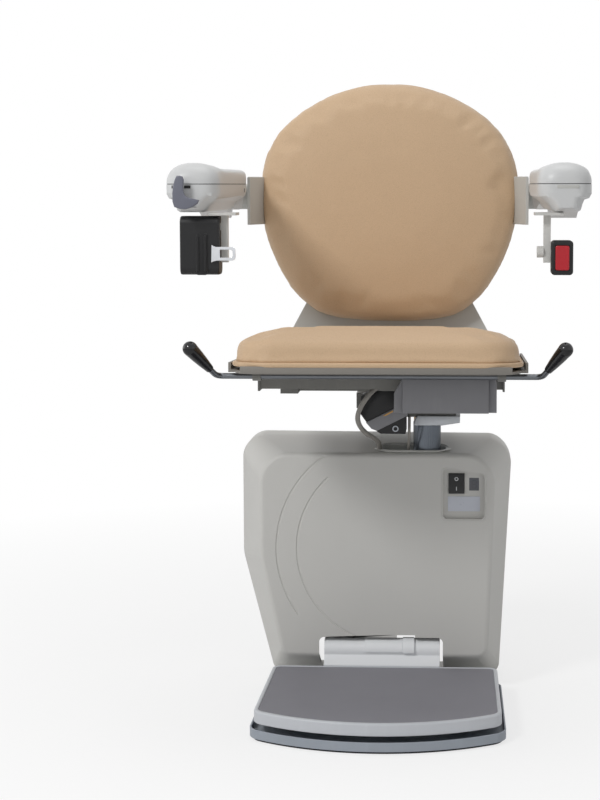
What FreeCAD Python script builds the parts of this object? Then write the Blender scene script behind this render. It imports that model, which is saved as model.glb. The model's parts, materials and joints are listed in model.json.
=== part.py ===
import FreeCAD, Part
import math
import os
import re
import Sketcher
from FreeCAD import Placement, Rotation, Vector

# A stairlift chair: a carriage that hangs on a rail, a folding footplate, a swivelling seat with a
# reclined back, folding arms and a lap belt.
# The rail runs along X behind the chair, the sitter faces -Y and +Z is up.
# The origin is the centre of the guide pad's face, where the carriage rests on the rail.

SIZES = [
    # Carriage on its rail
    ("rail_height", 84, "rail between the upper and lower rollers"),
    ("pad_width", 180, "guide pad along the rail"),
    ("pad_height", 70, "guide pad"),
    ("pad_thick", 6, "guide pad"),
    ("chassis_width", 290, "steel back plate"),
    ("chassis_height", 236, "steel back plate"),
    ("chassis_thick", 10, "steel back plate"),
    ("chassis_corner", 24, "corner radius of the back plate"),
    ("tab_low", 76, "tabs that carry the cover, from the pad centre"),
    ("tab_height", 24, "tabs that carry the cover"),
    ("tab_thick", 4, "tabs that carry the cover"),
    ("roller_radius", 20, "tread of a rail roller"),
    ("roller_width", 20, "rail roller without its flange"),
    ("flange_radius", 24, "roller flange that hooks behind the rail"),
    ("flange_width", 4, "roller flange"),
    ("roller_spread", 210, "between roller axles along the rail"),
    ("roller_standoff", 2, "rail face to roller"),
    ("axle_radius", 6, "roller axle"),
    ("axle_head", 11, "radius of the axle's head and end cap"),
    ("axle_head_thick", 4, "axle's head and end cap"),
    ("axle_collar", 9, "radius of the axle's spacing collar"),
    ("running_gap", 0.05, "radial clearance of a turning fit"),
    ("side_gap", 0.3, "clearance beside a moving piece"),
    ("pinion_teeth", 12, "teeth of the drive pinion"),
    ("tooth_module", 4, "pitch diameter per tooth"),
    ("pinion_width", 18, "drive pinion"),
    ("rack_drop", 6, "rail underside to the rack's pitch line"),
    ("shaft_radius", 8, "drive shaft"),
    ("shaft_washer", 13, "radius of the washer that holds the pinion"),
    ("shaft_washer_thick", 3, "washer that holds the pinion"),
    # Drive, power and electronics
    ("gearbox_left", 48, "gearbox left of the pinion shaft"),
    ("gearbox_right", 28, "gearbox right of the pinion shaft"),
    ("gearbox_height", 84, "gearbox"),
    ("gearbox_drop", 40, "gearbox below the pinion shaft"),
    ("gearbox_depth", 84, "gearbox"),
    ("gearbox_corner", 10, "gearbox corner radius"),
    ("shaft_entry", 26, "drive shaft inside the gearbox"),
    ("motor_radius", 36, "drive motor"),
    ("motor_length", 122, "drive motor"),
    ("motor_cap", 12, "length of the motor's end cap"),
    ("battery_length", 151, "sealed battery"),
    ("battery_depth", 65, "sealed battery"),
    ("battery_height", 94, "sealed battery"),
    ("battery_left", 176, "left end of the batteries"),
    ("battery_gap", 2, "between the two batteries"),
    ("shelf_height", 24, "top of the battery shelf above the pad centre"),
    ("shelf_thick", 3, "battery shelf"),
    ("shelf_lip", 14, "front lip of the battery shelf"),
    ("terminal_size", 8, "battery terminal"),
    ("board_left", 118, "left edge of the control board"),
    ("board_width", 56, "control board"),
    ("board_height", 130, "control board"),
    ("board_low", 62, "control board's lower edge below the pad centre"),
    ("board_thick", 2, "control board"),
    ("standoff_length", 8, "control board standoff"),
    ("standoff_radius", 3.5, "control board standoff"),
    ("contact_width", 22, "charging contact"),
    ("contact_height", 30, "charging contact"),
    ("contact_reach", 8, "charging contact behind the chassis"),
    ("contact_spread", 180, "between the charging contacts"),
    # Carriage cover
    ("cover_depth", 165, "front face of the cover from the rail face"),
    ("band_depth", 100, "tapered band behind the front face"),
    ("cover_wall", 3, "wall of every moulded cover"),
    ("cover_back_gap", 7, "back rim of the cover from the rail face"),
    ("front_left", 191, "front face"),
    ("front_right", 168, "front face at the top"),
    ("front_right_low", 157, "front face at the bottom"),
    ("front_top", 166, "front face"),
    ("front_shoulder", 8, "where the left side starts to slant"),
    ("front_left_low", 158, "front face at the bottom"),
    ("front_bottom", 148, "front face"),
    ("front_corner", 46, "front face, upper corners"),
    ("rear_left", 229, "widest outline of the cover"),
    ("rear_right", 196, "widest outline at the top"),
    ("rear_right_low", 176, "widest outline at the bottom"),
    ("rear_top", 180, "widest outline"),
    ("rear_shoulder", 7, "where the left side starts to slant, below the pad centre"),
    ("rear_left_low", 180, "widest outline at the bottom"),
    ("rear_bottom", 200, "widest outline"),
    ("rear_corner", 34, "widest outline, upper corners"),
    ("shoulder_round", 60, "rounding of the left side's bend"),
    ("low_corner", 18, "lower corners of the cover"),
    ("crease_round", 9, "rounding of the front face's edge"),
    ("groove_width", 2.6, "engraved arcs"),
    ("groove_depth", 1.2, "engraved arcs"),
    ("outer_arc_radius", 175.8, "outer engraved arc"),
    ("outer_arc_x", 9.2, "centre of the outer arc"),
    ("outer_arc_z", 18.9, "centre of the outer arc"),
    ("outer_arc_start", 124.5, "outer arc, degrees"),
    ("outer_arc_end", 215.7, "outer arc, degrees"),
    ("inner_arc_radius", 148.7, "inner engraved arc"),
    ("inner_arc_x", 13.5, "centre of the inner arc"),
    ("inner_arc_z", 19.2, "centre of the inner arc"),
    ("inner_arc_start", 132.4, "inner arc, degrees"),
    ("inner_arc_end", 247, "inner arc, degrees"),
    ("opening_left", 101.6, "footplate opening"),
    ("opening_right", 88.7, "footplate opening"),
    ("opening_top", 119, "top of the footplate opening below the pad centre"),
    ("opening_corner", 8, "upper corners of the footplate opening"),
    ("notch_left", 18, "notch above the footplate opening"),
    ("notch_right", 46, "notch above the footplate opening"),
    ("notch_height", 4, "notch above the footplate opening"),
    ("slot_left", 12, "column opening in the cover's top"),
    ("slot_right", 95, "column opening in the cover's top"),
    ("slot_width", 52, "column opening in the cover's top"),
    ("slot_corner", 20, "column opening, corner radius"),
    ("trim_lip", 5, "trim round the column opening"),
    ("trim_rise", 2.5, "trim above the cover"),
    # Switch recess
    ("recess_left", 86, "switch recess"),
    ("recess_right", 154, "switch recess"),
    ("recess_top", 146, "switch recess"),
    ("recess_top_drop", 8, "fall of the recess top to the right"),
    ("recess_bottom", 64, "switch recess"),
    ("recess_depth", 8, "switch recess"),
    ("recess_corner", 7, "switch recess"),
    ("panel_wall", 2, "switch panel"),
    ("rocker_left", 97, "power rocker"),
    ("rocker_width", 24, "power rocker"),
    ("rocker_low", 105, "power rocker"),
    ("rocker_height", 29.5, "power rocker"),
    ("rocker_rise", 4, "power rocker's top above the recess floor"),
    ("rocker_gap", 1.1, "clearance over and under the rocker, whose corners swing out as it tilts"),
    ("rocker_body_depth", 20, "switch body behind the recess"),
    ("rocker_dish", 2.2, "hollow of the rocker's two faces"),
    ("rocker_pin_radius", 1.5, "pins that the rocker tilts on"),
    ("rocker_pin", 1.4, "length of a rocker pin in its wall"),
    ("display_left", 128.5, "display window"),
    ("display_width", 15, "display window"),
    ("display_low", 109, "display window"),
    ("display_height", 19.7, "display window"),
    ("display_thick", 3, "display window"),
    # Column and swivel
    ("column_x", 63.5, "swivel axis"),
    ("column_y", 130, "swivel axis in front of the rail face"),
    ("column_radius", 21.2, "swivel column"),
    ("column_wall", 4, "swivel column"),
    ("column_low", 46, "foot of the column below the pad centre"),
    ("column_top", 236, "top of the column"),
    ("socket_wall", 7, "column socket"),
    ("socket_low", 50, "column socket below the pad centre"),
    ("socket_top", 150, "column socket"),
    ("socket_plate", 8, "plates that carry the socket"),
    ("socket_plate_half", 24, "half width of the plates that carry the socket"),
    ("fit_gap", 0.1, "radial gap of a fixed fit"),
    ("bolt_radius", 5, "height bolt"),
    ("bolt_height", 0, "height bolt above the pad centre"),
    ("bolt_head", 8.5, "height bolt's head and nut"),
    ("bolt_head_thick", 6, "height bolt's head and nut"),
    ("index_radius", 47, "index plate on the column"),
    ("index_thick", 6, "index plate"),
    ("index_top", 202, "upper face of the index plate"),
    ("index_slot_width", 10, "notches of the index plate"),
    ("index_slot_depth", 9, "notches of the index plate"),
    ("index_step", 45, "angle between the index plate's notches"),
    ("bush_wall", 3, "swivel bush"),
    ("bush_flange", 12, "flange of the swivel bush beyond the column"),
    ("bush_top", 232, "swivel bush"),
    ("casting_radius", 46, "swivel casting"),
    ("casting_ring", 13, "height of the casting's round skirt"),
    ("casting_plate", 6, "thickness of the casting's plate"),
    ("casting_left", 53, "casting plate left of the axis"),
    ("casting_right", 51, "casting plate right of the axis"),
    ("casting_ahead", 54, "casting plate before and behind the axis"),
    ("casting_corner", 14, "casting plate"),
    ("riser_left", 45, "seat riser left of the axis"),
    ("riser_right", 45, "seat riser right of the axis"),
    ("riser_half", 46, "seat riser before and behind the axis"),
    ("frame_wall", 4, "walls of the seat frame"),
    # Seat frame
    ("channel_half", 176, "half length of the front channel"),
    ("channel_front", 290, "front of the channel"),
    ("channel_depth", 40, "front channel"),
    ("channel_low", 279, "front channel"),
    ("channel_high", 301, "front channel"),
    ("end_plate", 3, "end plates of the channel"),
    ("rail_half", 150, "outer face of the side rails"),
    ("rail_width", 26, "side rails"),
    ("rail_low", 268, "side rails"),
    ("rail_high", 290, "side rails"),
    ("rail_back", 82, "back end of the side rails"),
    ("cross_back", 176, "back face of the cross member"),
    ("cross_depth", 40, "cross member"),
    ("cover_plate_left", 30, "mechanism cover"),
    ("cover_plate_right", 156, "mechanism cover"),
    ("cover_plate_front", 330, "mechanism cover"),
    ("cover_plate_low", 247, "mechanism cover"),
    ("cover_plate_high", 299, "mechanism cover"),
    ("cover_plate_facet", 12, "slanted left corner of the mechanism cover"),
    ("cover_plate_wall", 2.5, "mechanism cover"),
    ("cover_flange", 11, "right flange of the mechanism cover"),
    ("vent_width", 16, "vents in the mechanism cover"),
    ("vent_height", 3, "vents in the mechanism cover"),
    ("vent_pitch", 26, "vents in the mechanism cover"),
    ("box_left", 43, "junction box"),
    ("box_right", 10, "junction box"),
    ("box_front", 212, "junction box"),
    ("box_back", 150, "junction box"),
    ("box_low", 205, "junction box"),
    ("box_corner", 6, "junction box"),
    ("box_slant", 18, "slanted lower corner of the junction box"),
    ("strap_width", 17, "diagonal bracket"),
    ("strap_thick", 3, "diagonal bracket"),
    ("loom_radius", 3.8, "main wiring loom"),
    ("thin_loom_radius", 2.2, "thin wiring loom"),
    # Seat
    ("seat_hinge_y", 92, "seat hinge in front of the rail face"),
    ("seat_hinge_z", 290.5, "seat hinge"),
    ("hinge_pin_radius", 4, "seat hinge pins"),
    ("seat_lug_x", 163, "middle of the seat hinge lugs"),
    ("seat_lug_width", 10, "lugs of the seat hinge"),
    ("seat_lug_radius", 9, "lugs of the seat hinge"),
    ("seat_front", 450, "front of the seat"),
    ("seat_low", 316, "underside of the seat pan at the front"),
    ("seat_tilt", 2.5, "seat, lower at the back"),
    ("seat_half", 205, "half width of the seat cushion"),
    ("seat_length", 385, "seat cushion"),
    ("seat_corner", 62, "front corners of the seat"),
    ("seat_back_corner", 40, "back corners of the seat"),
    ("pan_half", 209.5, "half width of the seat pan"),
    ("pan_inset", 6, "seat pan behind the cushion's front"),
    ("pan_thick", 4, "seat pan"),
    ("pan_rim", 14, "height of the seat pan's side rims"),
    ("board_lip", 7, "seat board"),
    ("board_inset", 2, "seat board inside the cushion"),
    ("cushion_height", 43, "seat cushion above its board"),
    ("seat_crown", 11, "crown of the seat cushion"),
    ("side_pull", 3, "how far the cushions' sides are drawn in"),
    # Back
    ("back_y", 50, "foot of the back cushion's front face"),
    ("back_z", 357, "foot of the back cushion"),
    ("recline", 5, "back cushion"),
    ("back_half", 213, "half width of the back cushion"),
    ("back_low", 219, "back cushion below its widest line"),
    ("back_high", 165, "back cushion above its widest line"),
    ("back_thick", 44, "back cushion"),
    ("back_crown", 9, "crown of the back cushion"),
    ("shell_inset", 10, "back shell inside the cushion's outline"),
    ("shell_thick", 12, "back shell"),
    ("soft_gap", 0.3, "between a cushion and what it rests on"),
    ("skirt_top", 130, "half width of the back shell's skirt at the cushion"),
    ("back_shoulder", 20, "rounded front edge of the back cushion"),
    ("back_crown_step", 120, "rings of the back cushion's crown"),
    ("seat_crown_step", 110, "rings of the seat cushion's crown"),
    ("skirt_low", 160, "half width of the back shell's skirt at its foot"),
    ("skirt_drop", 16, "skirt below the back cushion"),
    ("skirt_rise", 40, "skirt behind the back cushion"),
    ("skirt_thick", 5, "skirt"),
    ("upright_half", 48, "back upright"),
    ("upright_depth", 20, "back upright"),
    ("upright_height", 230, "back upright above the cushion's foot"),
    ("upright_lift", 4, "leaning foot of the upright above its beam's underside"),
    ("foot_low", 226, "foot beam of the back upright"),
    ("foot_high", 250, "foot beam of the back upright"),
    # Swivel lever
    ("lever_y", 350, "lever bar's axis"),
    ("lever_z", 304, "lever bar's axis"),
    ("lever_radius", 4.2, "lever bar"),
    ("lever_half", 226, "bends of the lever bar"),
    ("lever_bend", 14, "radius of the bends"),
    ("grip_base_x", 238, "foot of a grip"),
    ("grip_base_y", 370, "foot of a grip"),
    ("grip_base_z", 316, "foot of a grip"),
    ("grip_top_x", 264, "top of a grip"),
    ("grip_top_y", 415, "top of a grip"),
    ("grip_top_z", 354, "top of a grip"),
    ("grip_radius", 10.5, "thick end of a grip"),
    ("grip_neck", 5.8, "thin end of a grip"),
    ("grip_swell", 0.5, "swelling of a grip's middle"),
    ("lever_clip_x", 173.5, "lever bearings"),
    ("lever_clip_width", 12, "lever bearings"),
    ("lever_clip_radius", 6.8, "lever bearings"),
    # Arms
    ("arm_width", 76, "arm"),
    ("arm_inner", 220, "inner side of an arm"),
    ("arm_front", 400, "front of an arm"),
    ("arm_crown_height", 30, "top shell of an arm"),
    ("arm_base_height", 39, "lower shell of an arm"),
    ("arm_low", 536, "underside of an arm"),
    ("arm_crown_round", 24, "upper edges of an arm"),
    ("arm_nose_round", 30, "front corners of an arm"),
    ("arm_taper", 8, "lower shell drawn in at its foot"),
    ("arm_low_round", 5, "lower edges of an arm"),
    ("arm_rear", 75, "back of the wide part of an arm"),
    ("arm_wall", 3, "walls of the arm shells"),
    ("ear_inner", 252, "inner face of the arm's ear"),
    ("hub_inner", 214.5, "inner face of an arm hub"),
    ("hub_outer", 251, "outer face of an arm hub"),
    ("arm_pivot_y", 25, "arm pivot in front of the rail face"),
    ("arm_pivot_z", 556, "arm pivot"),
    ("hub_radius", 44, "arm hub"),
    ("ear_radius", 34, "ear of an arm"),
    ("arm_pin_radius", 7, "arm pivot pin"),
    ("hub_arm_thick", 6, "plate from the arm hub to the back shell"),
    # Belt and controls
    ("tee_inner", 208, "belt bracket flange"),
    ("tee_outer", 248, "belt bracket flange"),
    ("tee_front", 385, "belt bracket flange"),
    ("tee_length", 40, "belt bracket flange"),
    ("tee_thick", 4, "belt bracket"),
    ("stem_inner", 221, "belt bracket stem"),
    ("stem_width", 10, "belt bracket stem"),
    ("stem_low", 466, "belt bracket stem"),
    ("reel_inner", 236, "belt reel"),
    ("reel_outer", 291, "belt reel"),
    ("reel_low", 449, "belt reel"),
    ("reel_high", 531, "belt reel"),
    ("reel_depth", 38, "belt reel"),
    ("reel_corner", 10, "belt reel"),
    ("tongue_inner", 214, "belt tongue"),
    ("tongue_outer", 247, "belt tongue"),
    ("tongue_low", 462.5, "belt tongue"),
    ("tongue_high", 492, "belt tongue"),
    ("tongue_thick", 2.4, "belt tongue"),
    ("tongue_window", 14, "window of the belt tongue"),
    ("web_width", 24, "webbing"),
    ("web_thick", 1.6, "webbing"),
    ("buckle_inner", 231.5, "buckle"),
    ("buckle_outer", 262, "buckle"),
    ("buckle_low", 449, "buckle"),
    ("buckle_high", 497, "buckle"),
    ("buckle_depth", 26, "buckle"),
    ("buckle_corner", 5, "buckle"),
    ("button_width", 19, "buckle button"),
    ("button_height", 34, "buckle button"),
    ("button_rise", 5, "buckle button in front of the buckle"),
    ("button_travel", 4, "buckle button"),
    ("latch_width", 22, "slot for the tongue"),
    ("latch_gap", 5, "slot for the tongue"),
    ("latch_depth", 26, "slot for the tongue"),
    ("latch_wall", 3, "wall behind the slot for the tongue"),
    ("buckle_bolt_radius", 4, "bolt that carries the buckle"),
    ("buckle_bolt_z", 481, "bolt that carries the buckle"),
    ("nut_radius", 8, "nut of the buckle's bolt"),
    ("nut_thick", 9, "nut of the buckle's bolt"),
    ("paddle_left", 288, "toggle paddle, outer edge"),
    ("paddle_right", 252, "toggle paddle, inner edge"),
    ("paddle_low", 541, "toggle paddle"),
    ("paddle_high", 587, "toggle paddle"),
    ("paddle_thick", 5, "toggle paddle"),
    ("paddle_start", 100, "upper end of the toggle paddle's crescent, degrees"),
    ("paddle_end", 330, "lower end of the toggle paddle's crescent, degrees"),
    ("paddle_stem_radius", 4, "toggle paddle's stem"),
    ("paddle_stem", 12, "toggle paddle in front of the arm"),
    ("paddle_bore", 24, "toggle paddle's stem inside the arm"),
    # Footplate
    ("fold_y", 150, "footplate hinge in front of the rail face"),
    ("fold_z", 140, "footplate hinge below the pad centre"),
    ("fold_pin_radius", 5, "footplate hinge pin"),
    ("fold_lug_width", 8, "lugs of the footplate hinge"),
    ("fold_lug_radius", 12, "lugs of the footplate hinge"),
    ("fold_lug_x", 70, "inner face of the footplate lugs"),
    ("tray_back_half", 172, "half width of the footplate at the back"),
    ("tray_front_half", 175, "half width of the footplate at the front"),
    ("tray_back", 170, "back edge of the footplate"),
    ("tray_side_front", 416, "where the footplate's sides end"),
    ("tray_bow", 56, "bow of the footplate's front edge"),
    ("tray_top", 162, "footplate's rim below the pad centre"),
    ("tray_height", 18, "footplate tray"),
    ("tray_wall", 3, "footplate tray"),
    ("tray_corner", 26, "front corners of the footplate"),
    ("tray_back_corner", 14, "back corners of the footplate"),
    ("tray_rim", 6, "rim round the mat"),
    ("mat_thick", 3, "footplate mat"),
    ("mat_sink", 1, "mat below the rim"),
    ("panel_left", 93.7, "hinge panel"),
    ("panel_right", 84, "hinge panel"),
    ("panel_radius", 17, "hinge panel round its pin"),
    ("hinge_wall", 2.5, "hinge panel"),
    ("panel_foot", 4, "hinge panel's flange on the tray"),
    ("small_cover_left", 31, "small cover on the hinge panel"),
    ("small_cover_right", 27, "small cover on the hinge panel"),
    ("latch_cover_right", 45, "latch cover on the hinge panel"),
    ("small_cover_thick", 2, "small cover on the hinge panel"),
    ("latch_cover_thick", 4.5, "latch cover on the hinge panel"),
    ("small_cover_start", 108, "upper edge of the small covers round the pin, degrees"),
    ("small_cover_end", 184, "lower edge of the small covers round the pin, degrees"),
    ("panel_start", 80, "upper edge of the hinge panel round its pin, degrees"),
    ("panel_end", 200, "lower end of the hinge panel's curve, degrees"),
    ("pan_gap", 7, "travel of the safety pan under the tray"),
    ("pan_flare", 6, "safety pan outside the tray"),
    ("pan_skirt", 13, "height of the safety pan's skirt"),
    ("pan_wall", 2.5, "safety pan"),
    ("rubber_thick", 4, "rubber under the safety pan"),
    ("rubber_inset", 5, "rubber inside the safety pan's edge"),
    ("stud_radius", 4, "studs that carry the safety pan"),
    ("stud_head", 8, "head of a pan stud"),
    ("stud_head_thick", 2, "head of a pan stud"),
    ("stud_gap", 0.5, "pan hole round its stud"),
    ("stud_x", 120, "pan studs"),
    ("stud_back", 215, "pan studs"),
    ("stud_front", 385, "pan studs"),
    ("spring_radius", 9, "ribs of a rubber pan spring"),
    ("spring_waist", 7, "grooves of a rubber pan spring"),
]

doc = FreeCAD.newDocument("StairliftChair")
sheet = doc.addObject("Spreadsheet::Sheet", "Sizes")
for row, (alias, number, note) in enumerate(SIZES, 1):
    sheet.set("A%d" % row, alias)
    sheet.set("B%d" % row, str(number))
    sheet.set("C%d" % row, note)
    sheet.setAlias("B%d" % row, alias)
doc.recompute()

ALIASES = sorted((alias for alias, number, note in SIZES), key=len, reverse=True)
ALIAS_PATTERN = re.compile(r"\b(%s)\b" % "|".join(ALIASES))
NODES = []


# Working with the sheet

def val(text):
    """The number that an expression of sheet aliases gives."""
    return float(sheet.evalExpression(str(text)))


def bound(text):
    """The same expression as a document object reads it."""
    return ALIAS_PATTERN.sub(r"Sizes.\1", str(text))


def bind(thing, name, text):
    thing.setExpression(name, bound(text))


def place(thing, x="0", y="0", z="0", turn=None, angle="0"):
    """Puts an object at bound coordinates, turned about an axis by a bound angle."""
    thing.Placement = Placement(Vector(val(x), val(y), val(z)), Rotation(turn or Vector(0, 0, 1), val(angle)))
    for name, text in (("x", x), ("y", y), ("z", z)):
        bind(thing, "Placement.Base." + name, text)
    if turn:
        bind(thing, "Placement.Rotation.Angle", angle)
    return thing


def node(thing, name):
    """Names a finished sub-part; the name is that of its file."""
    thing.Label = name
    NODES.append(thing)
    return thing


# Sketches

def fix_point(sketch, geometry, position, x, y):
    for kind, text in (("DistanceX", x), ("DistanceY", y)):
        index = sketch.addConstraint(Sketcher.Constraint(kind, -1, 1, geometry, position, val(text)))
        sketch.setExpression("Constraints[%d]" % index, bound(text))


def fix_radius(sketch, geometry, text):
    index = sketch.addConstraint(Sketcher.Constraint("Radius", geometry, val(text)))
    sketch.setExpression("Constraints[%d]" % index, bound(text))


def draw_circle(sketch, x, y, radius):
    centre = Vector(val(x), val(y), 0)
    circle = sketch.addGeometry(Part.Circle(centre, Vector(0, 0, 1), val(radius)), False)
    fix_point(sketch, circle, 3, x, y)
    fix_radius(sketch, circle, radius)


def draw_loop(sketch, corners):
    """A closed loop of lines through corners (x, y) or (x, y, radius); a radius rounds its corner."""
    count = len(corners)
    spots = [Vector(val(corner[0]), val(corner[1]), 0) for corner in corners]
    radii = [val(corner[2]) if len(corner) > 2 else 0 for corner in corners]
    back = [(spots[i - 1] - spots[i]).normalize() for i in range(count)]
    ahead = [(spots[(i + 1) % count] - spots[i]).normalize() for i in range(count)]
    half = [back[i].getAngle(ahead[i]) / 2 for i in range(count)]
    reach = [radii[i] / math.tan(half[i]) for i in range(count)]
    entry = [spots[i] + back[i] * reach[i] for i in range(count)]
    leaving = [spots[i] + ahead[i] * reach[i] for i in range(count)]
    lines = []
    for i in range(count):
        segment = Part.LineSegment(leaving[i], entry[(i + 1) % count])
        lines.append(sketch.addGeometry(segment, False))
    for i in range(count):
        before, after = lines[i - 1], lines[i]
        x, y = corners[i][0], corners[i][1]
        if not radii[i]:
            sketch.addConstraint(Sketcher.Constraint("Coincident", before, 2, after, 1))
            fix_point(sketch, after, 1, x, y)
            continue
        point = sketch.addGeometry(Part.Point(spots[i]), True)
        fix_point(sketch, point, 1, x, y)
        sketch.addConstraint(Sketcher.Constraint("PointOnObject", point, 1, before))
        sketch.addConstraint(Sketcher.Constraint("PointOnObject", point, 1, after))
        inward = (back[i] + ahead[i]).normalize()
        centre = spots[i] + inward * (radii[i] / math.sin(half[i]))
        left_turn = (back[i] * -1).cross(ahead[i]).z > 0
        ends = (entry[i], leaving[i]) if left_turn else (leaving[i], entry[i])
        angles = [math.atan2(end.y - centre.y, end.x - centre.x) for end in ends]
        circle = Part.Circle(centre, Vector(0, 0, 1), radii[i])
        arc = sketch.addGeometry(Part.ArcOfCircle(circle, angles[0], angles[1]), False)
        near, far = (1, 2) if left_turn else (2, 1)
        sketch.addConstraint(Sketcher.Constraint("Tangent", before, 2, arc, near))
        sketch.addConstraint(Sketcher.Constraint("Tangent", arc, far, after, 1))
        fix_radius(sketch, arc, corners[i][2])


def draw_band(sketch, x, y, radius, width, start, end):
    """A band of one width that follows an arc, from one angle to another in degrees."""
    centre = Vector(val(x), val(y), 0)
    angles = [math.radians(val(start)), math.radians(val(end))]
    texts = ["%s - %s / 2" % (radius, width), "%s + %s / 2" % (radius, width)]
    arcs = []
    for text in texts:
        circle = Part.Circle(centre, Vector(0, 0, 1), val(text))
        arcs.append(sketch.addGeometry(Part.ArcOfCircle(circle, angles[0], angles[1]), False))
        fix_radius(sketch, arcs[-1], text)
    fix_point(sketch, arcs[0], 3, x, y)
    sketch.addConstraint(Sketcher.Constraint("Coincident", arcs[0], 3, arcs[1], 3))
    for end_point, angle, text in ((1, angles[0], start), (2, angles[1], end)):
        ray = Vector(math.cos(angle), math.sin(angle), 0)
        inner, outer = centre + ray * val(texts[0]), centre + ray * val(texts[1])
        line = sketch.addGeometry(Part.LineSegment(inner, outer), False)
        sketch.addConstraint(Sketcher.Constraint("Coincident", line, 1, arcs[0], end_point))
        sketch.addConstraint(Sketcher.Constraint("Coincident", line, 2, arcs[1], end_point))
        index = sketch.addConstraint(Sketcher.Constraint("Angle", line, angle))
        sketch.setExpression("Constraints[%d]" % index, bound(text))


def new_sketch(body, plane, height="0"):
    """A sketch on one of the body's own origin planes, raised along the plane's normal."""
    sketch = body.newObject("Sketcher::SketchObject", "Sketch")
    role = [item for item in body.Origin.OriginFeatures if item.Role == plane + "_Plane"][0]
    sketch.AttachmentSupport = [(role, "")]
    sketch.MapMode = "FlatFace"
    sketch.AttachmentOffset = Placement(Vector(0, 0, val(height)), Rotation())
    bind(sketch, "AttachmentOffset.Base.z", height)
    return sketch


def outline(body, plane, height, corners):
    sketch = new_sketch(body, plane, height)
    draw_loop(sketch, corners)
    return sketch


def rectangle(x0, x1, y0, y1, radius=None):
    corners = [(x0, y0), (x1, y0), (x1, y1), (x0, y1)]
    return [corner + (radius,) for corner in corners] if radius else corners


# Features of a body

def new_body(name):
    body = doc.addObject("PartDesign::Body", "Body")
    return node(body, name)


def extrude(body, sketch, length, kind="Pad", flip=False):
    feature = body.newObject("PartDesign::" + kind, kind)
    feature.Profile = sketch
    feature.Reversed = flip
    bind(feature, "Length", length)
    doc.recompute()
    return feature


def loft(body, first, second, kind="AdditiveLoft"):
    feature = body.newObject("PartDesign::" + kind, kind)
    feature.Profile = first
    feature.Sections = [second]
    feature.Ruled = True
    doc.recompute()
    return feature


def revolve(body, sketch, axis="V_Axis"):
    feature = body.newObject("PartDesign::Revolution", "Revolution")
    feature.Profile = sketch
    feature.ReferenceAxis = (sketch, [axis])
    feature.Angle = 360
    doc.recompute()
    return feature


def round_edges(body, radius, chosen):
    """Rounds the edges of the body that the test picks."""
    doc.recompute()
    edges = body.Tip.Shape.Edges
    names = ["Edge%d" % number for number, edge in enumerate(edges, 1) if chosen(edge)]
    feature = body.newObject("PartDesign::Fillet", "Fillet")
    feature.Base = (feature.BaseFeature, names)
    bind(feature, "Radius", radius)
    doc.recompute()
    return feature


def at_height(axis, text):
    """Picks the edges that lie whole at one coordinate."""
    level = val(text)

    def chosen(edge):
        box = edge.BoundBox
        low, high = getattr(box, axis + "Min"), getattr(box, axis + "Max")
        return abs(low - level) < 0.01 and abs(high - level) < 0.01
    return chosen


# Primitives and booleans

AXES = {"X": (Vector(0, 1, 0), 90), "Y": (Vector(1, 0, 0), -90), "Z": (Vector(0, 0, 1), 0)}


def block(x, y, z):
    """A box between pairs of bound coordinates."""
    box = doc.addObject("Part::Box", "Block")
    spans = [(low, high) if val(low) < val(high) else (high, low) for low, high in (x, y, z)]
    for name, (low, high) in zip(("Length", "Width", "Height"), spans):
        bind(box, name, "(%s) - (%s)" % (high, low))
    return place(box, spans[0][0], spans[1][0], spans[2][0])


def rod(radius, length, x, y, z, axis="Z"):
    """A cylinder that starts at a bound point and runs along +X, +Y or +Z."""
    cylinder = doc.addObject("Part::Cylinder", "Rod")
    bind(cylinder, "Radius", radius)
    bind(cylinder, "Height", length)
    place(cylinder, x, y, z)
    turn, angle = AXES[axis]
    cylinder.Placement = Placement(cylinder.Placement.Base, Rotation(turn, angle))
    return cylinder


def fuse(*things):
    union = doc.addObject("Part::MultiFuse", "Fusion")
    union.Shapes = list(things)
    return union


def cut(base, *tools):
    tool = tools[0] if len(tools) == 1 else fuse(*tools)
    difference = doc.addObject("Part::Cut", "Cut")
    difference.Base = base
    difference.Tool = tool
    return difference


def group(*things):
    """Like pieces that stay apart in one node."""
    compound = doc.addObject("Part::Compound", "Group")
    compound.Links = list(things)
    return compound


def turned(body, corners, x, y, z, axis):
    """Revolves a profile of (radius, distance) corners and lays its axis along +X, +Y or +Z."""
    revolve(body, outline(body, "XZ", "0", corners))
    place(body, x, y, z)
    turn, angle = AXES[axis]
    body.Placement = Placement(body.Placement.Base, Rotation(turn, angle))
    return body


def free_body():
    return doc.addObject("PartDesign::Body", "Body")


def shape_node(name, shape, placement=None):
    """A sub-part whose form is worked out from the sheet."""
    feature = doc.addObject("Part::Feature", "Form")
    feature.Shape = shape
    if placement:
        feature.Placement = placement
    return node(feature, name)


# Carriage

CHASSIS_BACK = "-pad_thick"
CHASSIS_FRONT = "-(pad_thick + chassis_thick)"
ARM_OUTER = "(arm_inner + arm_width)"
ARM_PARTING = "(arm_low + arm_base_height)"
ARM_TOP = "(arm_low + arm_base_height + arm_crown_height)"
ROLLER_Z = "(rail_height / 2 + roller_radius)"
PITCH_RADIUS = "(pinion_teeth * tooth_module / 2)"
PINION_Z = "-(rail_height / 2 + rack_drop + %s)" % PITCH_RADIUS
ROLLER_PLACES = [(side, height) for height in ("1", "-1") for side in ("-1", "1")]


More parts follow.
